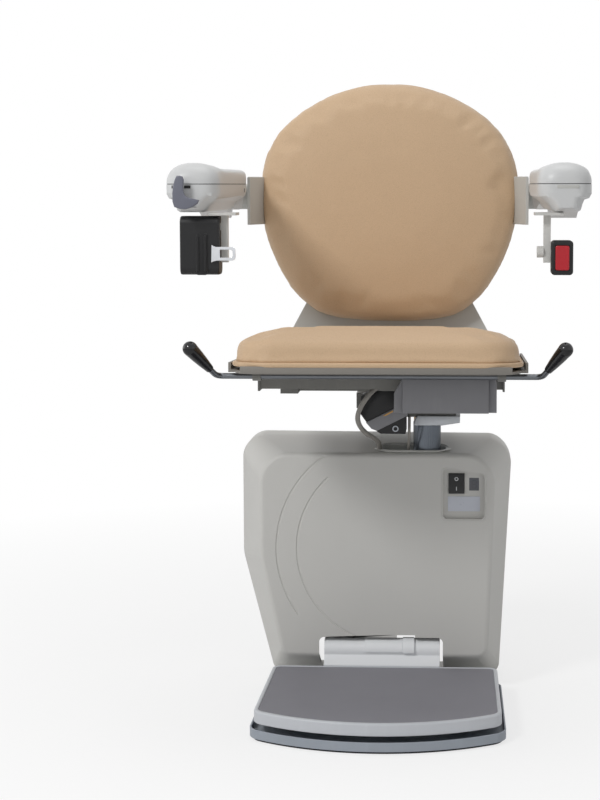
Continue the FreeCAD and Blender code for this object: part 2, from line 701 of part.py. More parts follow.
def make_chassis():
    body = new_body("chassis_plate")
    corners = rectangle("-chassis_width / 2", "chassis_width / 2", "-chassis_height / 2",
                        "chassis_height / 2", "chassis_corner")
    plate = outline(body, "XZ", "pad_thick", corners)
    draw_circle(plate, "0", PINION_Z, "shaft_radius + side_gap")
    for side, height in ROLLER_PLACES:
        draw_circle(plate, side + " * roller_spread / 2", height + " * " + ROLLER_Z, "axle_radius + fit_gap")
    extrude(body, plate, "chassis_thick")
    depth = "axle_head_thick + 2 * battery_depth + battery_gap + 4 * side_gap + shelf_thick"
    shelf = outline(body, "YZ", "-battery_left - side_gap", [
        (CHASSIS_FRONT + " + 1", "shelf_height"),
        (CHASSIS_FRONT + " - (%s)" % depth + " + shelf_thick", "shelf_height"),
        (CHASSIS_FRONT + " - (%s)" % depth + " + shelf_thick", "shelf_height + shelf_lip"),
        (CHASSIS_FRONT + " - (%s)" % depth, "shelf_height + shelf_lip"),
        (CHASSIS_FRONT + " - (%s)" % depth, "shelf_height - shelf_thick"),
        (CHASSIS_FRONT + " + 1", "shelf_height - shelf_thick")])
    extrude(body, shelf, "battery_length + 2 * side_gap")
    for low, high in (("tab_low", "tab_low + tab_height"), ("-tab_low - tab_height", "-tab_low")):
        for side, reach in (("-1", left_wall), ("1", right_wall)):
            tab = outline(body, "XZ", "pad_thick + chassis_thick - tab_thick", [
                (side + " * (chassis_width / 2 - tab_thick)", low), (reach(low), low), (reach(high), high),
                (side + " * (chassis_width / 2 - tab_thick)", high)])
            extrude(body, tab, "tab_thick")


def right_wall(z):
    """Where the cover's right wall is reached from inside, at a height."""
    share = "((%s + rear_bottom - cover_wall) / (rear_top + rear_bottom - 2 * cover_wall))" % z
    return "rear_right_low + (rear_right - rear_right_low) * %s - cover_wall - side_gap" % share


def left_wall(z):
    """Where the cover's left wall is reached from inside, at a height."""
    if val(z) > 0:
        return "cover_wall + side_gap - rear_left"
    share = "((%s + rear_bottom - cover_wall) / (rear_bottom - rear_shoulder - cover_wall))" % z
    return "cover_wall + side_gap - rear_left_low - (rear_left - rear_left_low) * %s" % share


def make_guide_pad():
    body = new_body("rail_guide_pad")
    pad = outline(body, "XZ", "0", rectangle("-pad_width / 2", "pad_width / 2", "-pad_height / 2",
                                             "pad_height / 2", "roller_standoff * 3"))
    extrude(body, pad, "pad_thick")


def make_rollers():
    end = "roller_width + flange_width"
    axle_profile = [
        ("0", "0"), ("axle_head", "0"), ("axle_head", "axle_head_thick"), ("axle_radius", "axle_head_thick"),
        ("axle_radius", "axle_head_thick + chassis_thick"),
        ("axle_collar", "axle_head_thick + chassis_thick"),
        ("axle_collar", "axle_head_thick + chassis_thick + pad_thick + roller_standoff - side_gap"),
        ("axle_radius", "axle_head_thick + chassis_thick + pad_thick + roller_standoff - side_gap"),
        ("axle_radius", "axle_head_thick + chassis_thick + pad_thick + roller_standoff + side_gap + " + end),
        ("axle_head", "axle_head_thick + chassis_thick + pad_thick + roller_standoff + side_gap + " + end),
        ("axle_head", "2 * axle_head_thick + chassis_thick + pad_thick + roller_standoff + " + end),
        ("0", "2 * axle_head_thick + chassis_thick + pad_thick + roller_standoff + " + end)]
    roller_profile = [
        ("axle_radius + running_gap", "0"), ("axle_head", "0"), ("axle_head", "flange_width / 2"),
        ("roller_radius - flange_width", "flange_width / 2"), ("roller_radius - flange_width", "0"),
        ("roller_radius", "0"), ("roller_radius", "roller_width"), ("flange_radius", "roller_width"),
        ("flange_radius", end), ("roller_radius - flange_width", end),
        ("roller_radius - flange_width", "roller_width + flange_width / 2"),
        ("axle_head", "roller_width + flange_width / 2"), ("axle_head", end),
        ("axle_radius + running_gap", end)]
    axles = []
    for number, (side, height) in enumerate(ROLLER_PLACES, 1):
        x, z = side + " * roller_spread / 2", height + " * " + ROLLER_Z
        axles.append(turned(free_body(), axle_profile, x, CHASSIS_FRONT + " - axle_head_thick", z, "Y"))
        turned(new_body("rail_roller_%d" % number), roller_profile, x, "roller_standoff", z, "Y")
    node(group(*axles), "roller_axles")


ROOT_WIDTH, TIP_WIDTH = 0.62, 1.62  # a tooth space, as shares of it at the pitch line
ROOT_DEPTH, TIP_HEIGHT = 1.2, 1.1  # from the pitch line, in modules


def make_pinion():
    body = free_body()
    blank = new_sketch(body, "XY")
    draw_circle(blank, "0", "0", PITCH_RADIUS + " + tooth_module")
    extrude(body, blank, "pinion_width")
    before = body.Shape.Volume
    pitch_gap = "tooth_module * 3.1416 / 4"
    root = "%s - %s * tooth_module" % (PITCH_RADIUS, ROOT_DEPTH)
    tip = "%s + %s * tooth_module" % (PITCH_RADIUS, TIP_HEIGHT)
    space = outline(body, "XY", "0", [
        ("-%s * %s" % (pitch_gap, ROOT_WIDTH), root, "tooth_module / 5"),
        ("%s * %s" % (pitch_gap, ROOT_WIDTH), root, "tooth_module / 5"),
        (pitch_gap, PITCH_RADIUS),
        ("%s * %s" % (pitch_gap, TIP_WIDTH), tip),
        ("-%s * %s" % (pitch_gap, TIP_WIDTH), tip),
        ("-" + pitch_gap, PITCH_RADIUS)])
    gap = extrude(body, space, "pinion_width", "Pocket", True)
    pattern = body.newObject("PartDesign::PolarPattern", "Teeth")
    pattern.Originals = [gap]
    pattern.Axis = ([item for item in body.Origin.OriginFeatures if item.Role == "Z_Axis"][0], [""])
    pattern.Angle = 360
    bind(pattern, "Occurrences", "pinion_teeth")
    body.Tip = pattern
    doc.recompute()
    if body.Shape.Volume > 0.9 * before:
        raise RuntimeError("the pinion has no teeth")
    place(body, "0", "roller_standoff + side_gap", PINION_Z)
    body.Placement = Placement(body.Placement.Base, Rotation(Vector(1, 0, 0), -90))
    plate_side = "shaft_entry + chassis_thick + pad_thick + roller_standoff"
    shaft = turned(free_body(), [
        ("0", "0"), ("shaft_radius", "0"), ("shaft_radius", plate_side + " - side_gap"),
        ("shaft_washer", plate_side + " - side_gap"), ("shaft_washer", plate_side + " + side_gap"),
        ("shaft_radius", plate_side + " + side_gap"),
        ("shaft_radius", plate_side + " + side_gap + pinion_width"),
        ("shaft_washer", plate_side + " + side_gap + pinion_width"),
        ("shaft_washer", plate_side + " + side_gap + pinion_width + shaft_washer_thick"),
        ("0", plate_side + " + side_gap + pinion_width + shaft_washer_thick")],
        "0", CHASSIS_FRONT + " - shaft_entry", PINION_Z, "Y")
    node(fuse(body, shaft), "drive_pinion")


def make_drive():
    body = new_body("gearbox_housing")
    low = PINION_Z + " - gearbox_drop"
    case = outline(body, "XZ", "pad_thick + chassis_thick",
                   rectangle("-gearbox_left", "gearbox_right", low, low + " + gearbox_height", "gearbox_corner"))
    extrude(body, case, "gearbox_depth")
    round_edges(body, "gearbox_corner / 2", at_height("Y", CHASSIS_FRONT + " - gearbox_depth"))
    bore = new_sketch(body, "XZ", "pad_thick + chassis_thick")
    draw_circle(bore, "0", PINION_Z, "shaft_radius + running_gap")
    extrude(body, bore, "shaft_entry + side_gap", "Pocket", True)
    motor_y = CHASSIS_FRONT + " - motor_radius - gearbox_corner / 2"
    turned(new_body("drive_motor"), [
        ("0", "0"), ("motor_radius * 0.8", "0"), ("motor_radius * 0.8", "motor_cap"),
        ("motor_radius", "motor_cap"), ("motor_radius", "motor_length - motor_cap"),
        ("motor_radius * 0.9", "motor_length - motor_cap"), ("motor_radius * 0.9", "motor_length"),
        ("0", "motor_length")],
        "-gearbox_left - motor_length", motor_y, PINION_Z, "X")


def make_power():
    cells = []
    for number in ("0", "1"):
        back = CHASSIS_FRONT + " - axle_head_thick - side_gap - %s * (battery_depth + battery_gap)" % number
        case = block(("-battery_left", "battery_length - battery_left"), (back + " - battery_depth", back),
                     ("shelf_height", "shelf_height + battery_height"))
        middle = back + " - battery_depth / 2"
        tabs = []
        high = "shelf_height + battery_height"
        for start in ("2 * terminal_size - battery_left", "battery_length - battery_left - 3 * terminal_size"):
            tabs.append(block((start, start + " + terminal_size"),
                              (middle + " - terminal_size / 2", middle + " + terminal_size / 2"),
                              (high + " - 1", high + " + terminal_size")))
        cells.append(fuse(case, *tabs))
    node(group(*cells), "battery_pack")
    back = CHASSIS_FRONT + " - standoff_length"
    board = [block(("board_left", "board_left + board_width"), (back + " - board_thick", back),
                   ("-board_low", "board_height - board_low"))]
    edge = "standoff_radius * 2"
    for x in ("board_left + " + edge, "board_left + board_width - " + edge):
        for z in ("-board_low + " + edge, "board_height - board_low - " + edge):
            if val(x) < val("chassis_width / 2 - standoff_radius"):
                board.append(rod("standoff_radius", "standoff_length", x, back, z, "Y"))
    heat_sink = block(("board_left + board_width / 4", "board_left + board_width * 3 / 4"),
                      (back + " - board_thick - standoff_length * 2", back),
                      ("-board_low + board_height / 8", "-board_low + board_height * 3 / 8"))
    relay = block(("board_left + board_width / 4", "board_left + board_width / 2"),
                  (back + " - board_thick - standoff_length * 2", back),
                  ("board_height / 2 - board_low", "board_height * 5 / 8 - board_low"))
    node(fuse(*board, heat_sink, relay), "control_board")
    contacts = []
    for side in ("-1", "1"):
        middle = side + " * contact_spread / 2"
        low = "-chassis_height / 2 + chassis_corner / 4"
        body = block((middle + " - contact_width / 2", middle + " + contact_width / 2"),
                     (CHASSIS_BACK, "contact_reach - pad_thick"), (low, low + " + contact_height / 2"))
        finger = block((middle + " - contact_width / 4", middle + " + contact_width / 4"),
                       (CHASSIS_BACK + " + contact_reach / 2", "contact_reach"),
                       (low + " + contact_height / 8", low + " + contact_height / 4"))
        contacts.append(fuse(body, finger))
    node(group(*contacts), "charge_contacts")


def cover_outline(which, inset):
    """Corners of the cover's front or widest outline, drawn in by an inset."""
    low, in_by = which + "_", " - " + inset
    bend = "-" + "rear_shoulder" if which == "rear" else "front_shoulder"
    corner = low + "corner" + in_by
    return [
        ("-(%sleft_low%s)" % (low, in_by), "-(%sbottom%s)" % (low, in_by), "low_corner" + in_by),
        ("%sright_low%s" % (low, in_by), "-(%sbottom%s)" % (low, in_by), "low_corner" + in_by),
        ("%sright%s" % (low, in_by), "%stop%s" % (low, in_by), corner),
        ("-(%sleft%s)" % (low, in_by), "%stop%s" % (low, in_by), corner),
        ("-(%sleft%s)" % (low, in_by), bend, "shoulder_round" + in_by)]


def make_cover():
    body = new_body("carriage_cover")
    waist = "cover_depth - band_depth"
    front = outline(body, "XZ", "cover_depth", cover_outline("front", "0"))
    widest = outline(body, "XZ", waist, cover_outline("rear", "0"))
    loft(body, front, widest)
    rim = outline(body, "XZ", waist, cover_outline("rear", "0"))
    extrude(body, rim, waist + " - cover_back_gap", "Pad", True)
    round_edges(body, "crease_round", at_height("Y", "-cover_depth"))
    inner_front = outline(body, "XZ", "cover_depth - cover_wall", cover_outline("front", "cover_wall"))
    inner_widest = outline(body, "XZ", waist, cover_outline("rear", "cover_wall"))
    loft(body, inner_front, inner_widest, "SubtractiveLoft")
    inner_rim = outline(body, "XZ", waist, cover_outline("rear", "cover_wall"))
    extrude(body, inner_rim, waist, "Pocket")
    doorway = outline(body, "XZ", "cover_depth + cover_wall", [
        ("-opening_left", "-rear_bottom - cover_wall"), ("opening_right", "-rear_bottom - cover_wall"),
        ("opening_right", "-opening_top", "opening_corner"),
        ("notch_right", "-opening_top"), ("notch_right", "notch_height - opening_top"),
        ("notch_left", "notch_height - opening_top"), ("notch_left", "-opening_top"),
        ("-opening_left", "-opening_top", "opening_corner")])
    extrude(body, doorway, "band_depth + cover_wall", "Pocket")
    window = outline(body, "XZ", "cover_depth + cover_wall", recess_outline("0"))
    extrude(body, window, "4 * cover_wall", "Pocket")
    hatch = outline(body, "XY", "rear_top + cover_wall", slot_outline("0"))
    extrude(body, hatch, "rear_top - front_top + 4 * cover_wall", "Pocket")
    for name in ("outer", "inner"):
        before = body.Shape.Volume
        groove = new_sketch(body, "XZ", "cover_depth")
        draw_band(groove, name + "_arc_x", name + "_arc_z", name + "_arc_radius", "groove_width",
                  name + "_arc_start", name + "_arc_end")
        extrude(body, groove, "groove_depth", "Pocket")
        if body.Shape.Volume > before - 1:
            raise RuntimeError("the engraved arc cuts nothing")


def recess_outline(inset):
    """Corners of the switch recess, drawn in by an inset."""
    return [
        ("recess_left + " + inset, "recess_bottom + " + inset, "recess_corner"),
        ("recess_right - " + inset, "recess_bottom + " + inset, "recess_corner"),
        ("recess_right - " + inset, "recess_top - recess_top_drop - " + inset, "recess_corner"),
        ("recess_left + " + inset, "recess_top - " + inset, "recess_corner")]


def slot_outline(inset):
    """Corners of the column opening, drawn in by an inset."""
    return rectangle("-slot_left + " + inset, "slot_right - " + inset,
                     "-column_y - slot_width / 2 + " + inset, "slot_width / 2 - column_y - " + inset,
                     "slot_corner - " + inset)


def make_switches():
    body = new_body("switch_panel")
    tray = outline(body, "XZ", "cover_depth - recess_depth - panel_wall", recess_outline("fit_gap"))
    extrude(body, tray, "recess_depth + panel_wall")
    hollow = outline(body, "XZ", "cover_depth", recess_outline("panel_wall"))
    extrude(body, hollow, "recess_depth", "Pocket")
    gap = "side_gap"
    hole = outline(body, "XZ", "cover_depth - recess_depth", rectangle(
        "rocker_left - " + gap, "rocker_left + rocker_width + " + gap,
        "rocker_low - rocker_gap", "rocker_low + rocker_height + rocker_gap"))
    draw_loop(hole, rectangle("display_left", "display_left + display_width", "display_low",
                              "display_low + display_height"))
    extrude(body, hole, "2 * panel_wall", "Pocket")
    floor = "-(cover_depth - recess_depth)"
    wall = "panel_wall"
    housing = outline(body, "XZ", "cover_depth - recess_depth - panel_wall", rectangle(
        "rocker_left - " + wall, "rocker_left + rocker_width + " + wall,
        "rocker_low - " + wall, "rocker_low + rocker_height + " + wall))
    draw_loop(housing, rectangle("rocker_left - " + gap, "rocker_left + rocker_width + " + gap,
                                 "rocker_low - rocker_gap", "rocker_low + rocker_height + rocker_gap"))
    extrude(body, housing, "rocker_body_depth", "Pad", True)
    bore = new_sketch(body, "YZ", "rocker_left - panel_wall - 1")
    draw_circle(bore, floor + " + panel_wall", "rocker_low + rocker_height / 2",
                "rocker_pin_radius + running_gap")
    extrude(body, bore, "rocker_width + 2 * panel_wall + 2", "Pocket", True)
    screen = block(("display_left + fit_gap", "display_left + display_width - fit_gap"),
                   (floor + " - fit_gap", floor + " + display_thick"),
                   ("display_low + fit_gap", "display_low + display_height - fit_gap"))
    node(screen, "status_display")
    rocker = new_body("power_rocker")
    side = outline(rocker, "YZ", "rocker_left", [
        (floor + " - rocker_rise", "rocker_low"),
        (floor + " + panel_wall", "rocker_low"),
        (floor + " + rocker_rise", "rocker_low + rocker_height / 2"),
        (floor + " + panel_wall", "rocker_low + rocker_height"),
        (floor + " - rocker_rise", "rocker_low + rocker_height"),
        (floor + " - rocker_rise + rocker_dish", "rocker_low + rocker_height / 2")])
    extrude(rocker, side, "rocker_width")
    pins = new_sketch(rocker, "YZ", "rocker_left - rocker_pin")
    draw_circle(pins, floor + " + panel_wall", "rocker_low + rocker_height / 2", "rocker_pin_radius")
    extrude(rocker, pins, "rocker_width + 2 * rocker_pin")


def make_column():
    axis_y = "-column_y"
    bore = "column_radius + fit_gap"
    outer = "column_radius + fit_gap + socket_wall"
    half = "(%s)" % outer
    tube = rod(outer, "socket_top + socket_low", "column_x", axis_y, "-socket_low")
    plates = []
    for low in ("-socket_low", "socket_top * 0.8"):
        plates.append(block(("column_x - socket_plate_half", "column_x + socket_plate_half"),
                            (axis_y, CHASSIS_FRONT),
                            (low, low + " + socket_plate")))
    web = block(("column_x - socket_plate / 2", "column_x + socket_plate / 2"), (axis_y, CHASSIS_FRONT),
                ("-socket_low", "socket_top * 0.8 + socket_plate"))
    hole = rod(bore, "socket_top + socket_low + 2", "column_x", axis_y, "-socket_low - 1")
    reach = outer + " + bolt_head_thick"
    bolt_hole = rod("bolt_radius + fit_gap", "2 * (%s)" % reach, "column_x - (%s)" % reach, axis_y,
                    "bolt_height", "X")
    node(cut(fuse(tube, web, *plates), hole, bolt_hole), "column_socket")
    pipe = rod("column_radius", "column_top + column_low", "column_x", axis_y, "-column_low")
    index = rod("index_radius", "index_thick", "column_x", axis_y, "index_top - index_thick")
    inside = rod("column_radius - column_wall", "column_top + column_low + 2", "column_x", axis_y,
                 "-column_low - 1")
    pin_hole = rod("bolt_radius + fit_gap", "2 * (%s)" % reach, "column_x - (%s)" % reach, axis_y,
                   "bolt_height", "X")
    notches = []
    for number in range(-2, 3):
        notch = doc.addObject("Part::Box", "Notch")
        bind(notch, "Length", "index_slot_width")
        bind(notch, "Width", "2 * index_slot_depth")
        bind(notch, "Height", "index_thick + 2")
        angle = "(%d * index_step)" % number
        radius = "(index_radius + index_slot_depth)"
        width = "(index_slot_width / 2)"
        place(notch,
              "column_x + %s * sin(%s) - %s * cos(%s)" % (radius, angle, width, angle),
              "-column_y - %s * cos(%s) - %s * sin(%s)" % (radius, angle, width, angle),
              "index_top - index_thick - 1", Vector(0, 0, 1), "%d * index_step" % number)
        notches.append(notch)
    node(cut(fuse(pipe, index), inside, pin_hole, *notches), "swivel_column")
    length = "2 * (%s)" % outer
    shank = rod("bolt_radius", length, "column_x - " + half, axis_y, "bolt_height", "X")
    head = rod("bolt_head", "bolt_head_thick", "column_x - %s - bolt_head_thick" % half, axis_y,
               "bolt_height", "X")
    nut = rod("bolt_head", "bolt_head_thick", "column_x + " + half, axis_y, "bolt_height", "X")
    node(fuse(shank, head, nut), "height_bolt")
    turned(new_body("swivel_bush"), [
        ("column_radius + running_gap", "index_top"), ("column_radius + bush_flange", "index_top"),
        ("column_radius + bush_flange", "index_top + bush_wall"),
        ("column_radius + bush_wall", "index_top + bush_wall"), ("column_radius + bush_wall", "bush_top"),
        ("column_radius + running_gap", "bush_top")], "column_x", axis_y, "0", "Z")
    trim = new_body("column_trim")
    lip = outline(trim, "XY", "rear_top", slot_outline("-trim_lip"))
    draw_loop(lip, slot_outline("trim_lip / 2"))
    extrude(trim, lip, "trim_rise")
    collar = outline(trim, "XY", "rear_top", slot_outline("fit_gap"))
    draw_loop(collar, slot_outline("trim_lip / 2"))
    extrude(trim, collar, "rear_top - front_top + cover_wall", "Pad", True)


# Footplate

TRAY_LOW = "-(tray_top + tray_height)"
BED_LOW = "-(tray_top + mat_thick + mat_sink)"
FRONT_REACH = "(tray_side_front + tray_bow)"
BOW_RADIUS = "((tray_front_half^2 + tray_bow^2) / (2 * tray_bow))"


def foot_outline(body, height, inset):
    """The footplate's plan: a straight back, sides that spread a little and a bowed front."""
    sketch = new_sketch(body, "XY", height)
    back_x, front_x = "(tray_back_half - (%s))" % inset, "(tray_front_half - (%s))" % inset
    back_y, side_y = "-(tray_back + (%s))" % inset, "-tray_side_front"
    radius = "(%s - (%s))" % (BOW_RADIUS, inset)
    centre_y = "(%s - (tray_side_front + tray_bow))" % BOW_RADIUS
    drop = "sqrt((%s)^2 - (%s)^2)" % (radius, front_x)
    corner_y = "(%s) - %s" % (centre_y, drop)
    spots = {"a": (back_x, back_y), "b": ("-" + back_x, back_y), "c": ("-" + front_x, corner_y),
             "d": (front_x, corner_y)}
    points = {key: Vector(val(spot[0]), val(spot[1]), 0) for key, spot in spots.items()}
    lines = [sketch.addGeometry(Part.LineSegment(points[first], points[last]), False)
             for first, last in (("d", "a"), ("a", "b"), ("b", "c"))]
    centre = Vector(0, val(centre_y), 0)
    angles = [math.atan2(points[key].y - centre.y, points[key].x) for key in ("c", "d")]
    arc = sketch.addGeometry(Part.ArcOfCircle(Part.Circle(centre, Vector(0, 0, 1), val(radius)), *angles), False)
    sketch.addConstraint(Sketcher.Constraint("Coincident", lines[0], 2, lines[1], 1))
    sketch.addConstraint(Sketcher.Constraint("Coincident", lines[1], 2, lines[2], 1))
    sketch.addConstraint(Sketcher.Constraint("Coincident", lines[2], 2, arc, 1))
    sketch.addConstraint(Sketcher.Constraint("Coincident", arc, 2, lines[0], 1))
    fix_point(sketch, lines[1], 1, *spots["a"])
    fix_point(sketch, lines[1], 2, *spots["b"])
    fix_point(sketch, arc, 3, "0", centre_y)
    fix_radius(sketch, arc, radius)
    for position, text in ((1, "-" + front_x), (2, front_x)):
        index = sketch.addConstraint(Sketcher.Constraint("DistanceX", -1, 1, arc, position, val(text)))
        sketch.setExpression("Constraints[%d]" % index, bound(text))
    return sketch


def upright_edges(low, high, back):
    """Picks the upright edges between two heights at the footplate's back or front corners."""
    bottom, top, middle = val(low), val(high), -val("tray_back + tray_side_front") / 2

    def chosen(edge):
        box = edge.BoundBox
        upright = box.XLength < 0.01 and box.YLength < 0.01
        spans = abs(box.ZMin - bottom) < 0.01 and abs(box.ZMax - top) < 0.01
        return upright and spans and (box.YMin > middle) == back
    return chosen


def round_corners(body, low, high, inset="0"):
    """Rounds the footplate's four corners on an outline that is drawn in by an inset."""
    for back, radius in ((False, "tray_corner"), (True, "tray_back_corner")):
        round_edges(body, "%s - (%s)" % (radius, inset), upright_edges(low, high, back))


def foot_hollow(low, height, inset):
    """A tool with the footplate's rounded outline, drawn in by an inset."""
    tool = free_body()
    extrude(tool, foot_outline(tool, low, inset), height)
    round_corners(tool, low, "%s + %s" % (low, height), inset)
    return tool


def make_footplate():
    body = free_body()
    extrude(body, foot_outline(body, TRAY_LOW, "0"), "tray_height")
    round_corners(body, TRAY_LOW, "-tray_top")
    round_edges(body, "tray_wall", at_height("Z", "-tray_top"))
    bed = foot_hollow(BED_LOW, "mat_thick + mat_sink", "tray_rim")
    under = foot_hollow(TRAY_LOW, "tray_height - mat_thick - mat_sink - tray_wall", "tray_wall")
    node(cut(body, bed, under), "foot_tray")
    mat = new_body("foot_mat")
    extrude(mat, foot_outline(mat, BED_LOW, "tray_rim + fit_gap"), "mat_thick")
    round_corners(mat, BED_LOW, BED_LOW + " + mat_thick", "tray_rim + fit_gap")
    make_hinge_panel()
    make_pan()


def make_hinge_panel():
    """The curved panel that hides the footplate hinge, with arms that turn on the pin."""
    panel = new_body("hinge_panel")
    sketch = new_sketch(panel, "YZ", "-panel_left")
    draw_band(sketch, "-fold_y", "-fold_z", "panel_radius - hinge_wall / 2", "hinge_wall", "panel_start",
              "panel_end")
    extrude(panel, sketch, "panel_left + panel_right")
    edge = "cos(panel_end) * (panel_radius - hinge_wall) - fold_y"
    outer = "cos(panel_end) * panel_radius - fold_y"
    rise = "sin(panel_end) * (panel_radius - hinge_wall) - fold_z"
    outer_rise = "sin(panel_end) * panel_radius - fold_z"
    foot = outline(panel, "YZ", "-panel_left", [
        (edge, rise), (edge, "-tray_top"), ("-tray_back - panel_foot", "-tray_top"),
        ("-tray_back - panel_foot", "hinge_wall - tray_top"), (outer, outer_rise)])
    extrude(panel, foot, "panel_left + panel_right")
    covers = []
    for left, right, thick in (("-small_cover_left", "small_cover_right", "small_cover_thick"),
                               ("small_cover_right + side_gap", "latch_cover_right", "latch_cover_thick")):
        cover = free_body()
        sketch = new_sketch(cover, "YZ", left)
        draw_band(sketch, "-fold_y", "-fold_z", "panel_radius + fit_gap + %s / 2" % thick, thick,
                  "small_cover_start", "small_cover_end")
        extrude(cover, sketch, "(%s) - (%s)" % (right, left))
        covers.append(cover)
    node(group(*covers), "panel_covers")
    lugs, arms = [], []
    for side in ("-1", "1"):
        inner = side + " * fold_lug_x"
        outer_face = side + " * (fold_lug_x + fold_lug_width)"
        start = inner if side == "1" else outer_face
        eye = rod("fold_lug_radius", "fold_lug_width", start, "-fold_y", "-fold_z", "X")
        beam = block((inner, outer_face), ("-fold_y", CHASSIS_FRONT),
                     ("-fold_z - fold_lug_radius", "-fold_z - fold_lug_radius / 4"))
        riser = block((inner, outer_face), (CHASSIS_FRONT + " - 3 * fold_lug_width", CHASSIS_FRONT),
                      ("-fold_z - fold_lug_radius", "-chassis_height / 2 + fold_lug_width"))
        hole = rod("fold_pin_radius + fit_gap", "2 * fold_lug_width", start + " - fold_lug_width / 2",
                   "-fold_y", "-fold_z", "X")
        lugs.append(cut(fuse(eye, beam, riser), hole))
        arm_inner = side + " * (fold_lug_x - side_gap)"
        arm_outer = side + " * (fold_lug_x - side_gap - fold_lug_width)"
        arm_start = arm_outer if side == "1" else arm_inner
        knuckle = rod("fold_lug_radius", "fold_lug_width", arm_start, "-fold_y", "-fold_z", "X")
        strut = block((arm_inner, arm_outer), ("-fold_y - fold_lug_radius", "-fold_y + fold_lug_radius / 2"),
                      (TRAY_LOW, "-fold_z"))
        toe = block((arm_inner, arm_outer), ("-tray_back", "-fold_y"), (TRAY_LOW, "-tray_top - fit_gap"))
        bore = rod("fold_pin_radius + running_gap", "2 * fold_lug_width", arm_start + " - fold_lug_width / 2",
                   "-fold_y", "-fold_z", "X")
        arms.append(cut(fuse(knuckle, strut, toe), bore))
    node(group(*lugs), "footplate_lugs")
    node(group(*arms), "hinge_arms")
    length = "2 * (fold_lug_x + fold_lug_width + fold_pin_radius)"
    node(rod("fold_pin_radius", length, "-(%s) / 2" % length, "-fold_y", "-fold_z", "X"), "footplate_pin")


def make_pan():
    body = free_body()
    floor = TRAY_LOW + " - pan_gap - pan_skirt"
    extrude(body, foot_outline(body, floor, "-pan_flare"), "pan_skirt")
    round_corners(body, floor, floor + " + pan_skirt", "-pan_flare")
    inside = foot_hollow(floor + " + pan_wall", "pan_skirt", "pan_wall - pan_flare")
    places = [(x, y) for x in ("-stud_x", "stud_x") for y in ("-stud_back", "-stud_front")]
    holes = new_sketch(body, "XY", floor + " + 2 * pan_wall")
    for x, y in places:
        draw_circle(holes, x, y, "stud_radius + stud_gap")
    extrude(body, holes, "4 * pan_wall", "Pocket")
    node(cut(body, inside), "safety_pan")
    rubber = new_body("pan_rubber")
    base = foot_outline(rubber, floor, "rubber_inset - pan_flare")
    for x, y in places:
        draw_circle(base, x, y, "stud_head + stud_gap")
    extrude(rubber, base, "rubber_thick", "Pad", True)
    round_corners(rubber, floor + " - rubber_thick", floor, "rubber_inset - pan_flare")
    studs, springs = [], []
    under = BED_LOW + " - tray_wall"
    for x, y in places:
        studs.append(turned(free_body(), [
            ("0", floor + " - side_gap - stud_head_thick"), ("stud_head", floor + " - side_gap - stud_head_thick"),
            ("stud_head", floor + " - side_gap"), ("stud_radius", floor + " - side_gap"),
            ("stud_radius", under), ("0", under)], x, y, "0", "Z"))
        springs.append(pan_spring(x, y, floor + " + pan_wall", under))
    node(group(*studs), "pan_studs")
    node(group(*springs), "pan_springs")


SPRING_RIBS = [(0, 0.22), (0.44, 0.56), (0.78, 1)]
SPRING_GROOVES = [(0.3, 0.36), (0.64, 0.7)]


def pan_spring(x, y, low, high):
    """A ribbed rubber tube about a stud, between the pan's floor and the tray."""
    rows = [(share, "spring_radius") for rib in SPRING_RIBS for share in rib]
    rows += [(share, "spring_waist") for groove in SPRING_GROOVES for share in groove]
    start, height = "(%s + side_gap)" % low, "(%s - (%s) - 2 * side_gap)" % (high, low)
    corners = [(radius, "%s + %s * %s" % (start, share, height)) for share, radius in sorted(rows)]
    bore = "stud_radius + stud_gap"
    return turned(free_body(), [(bore, start)] + corners + [(bore, "%s + %s" % (start, height))], x, y, "0",
                  "Z")


# Swivel and seat frame

AXIS_Y = "-column_y"
CASTING_LOW = "index_top + bush_wall + side_gap"
PLATE_LOW = "%s + casting_ring" % CASTING_LOW
PLATE_HIGH = "%s + casting_plate" % PLATE_LOW


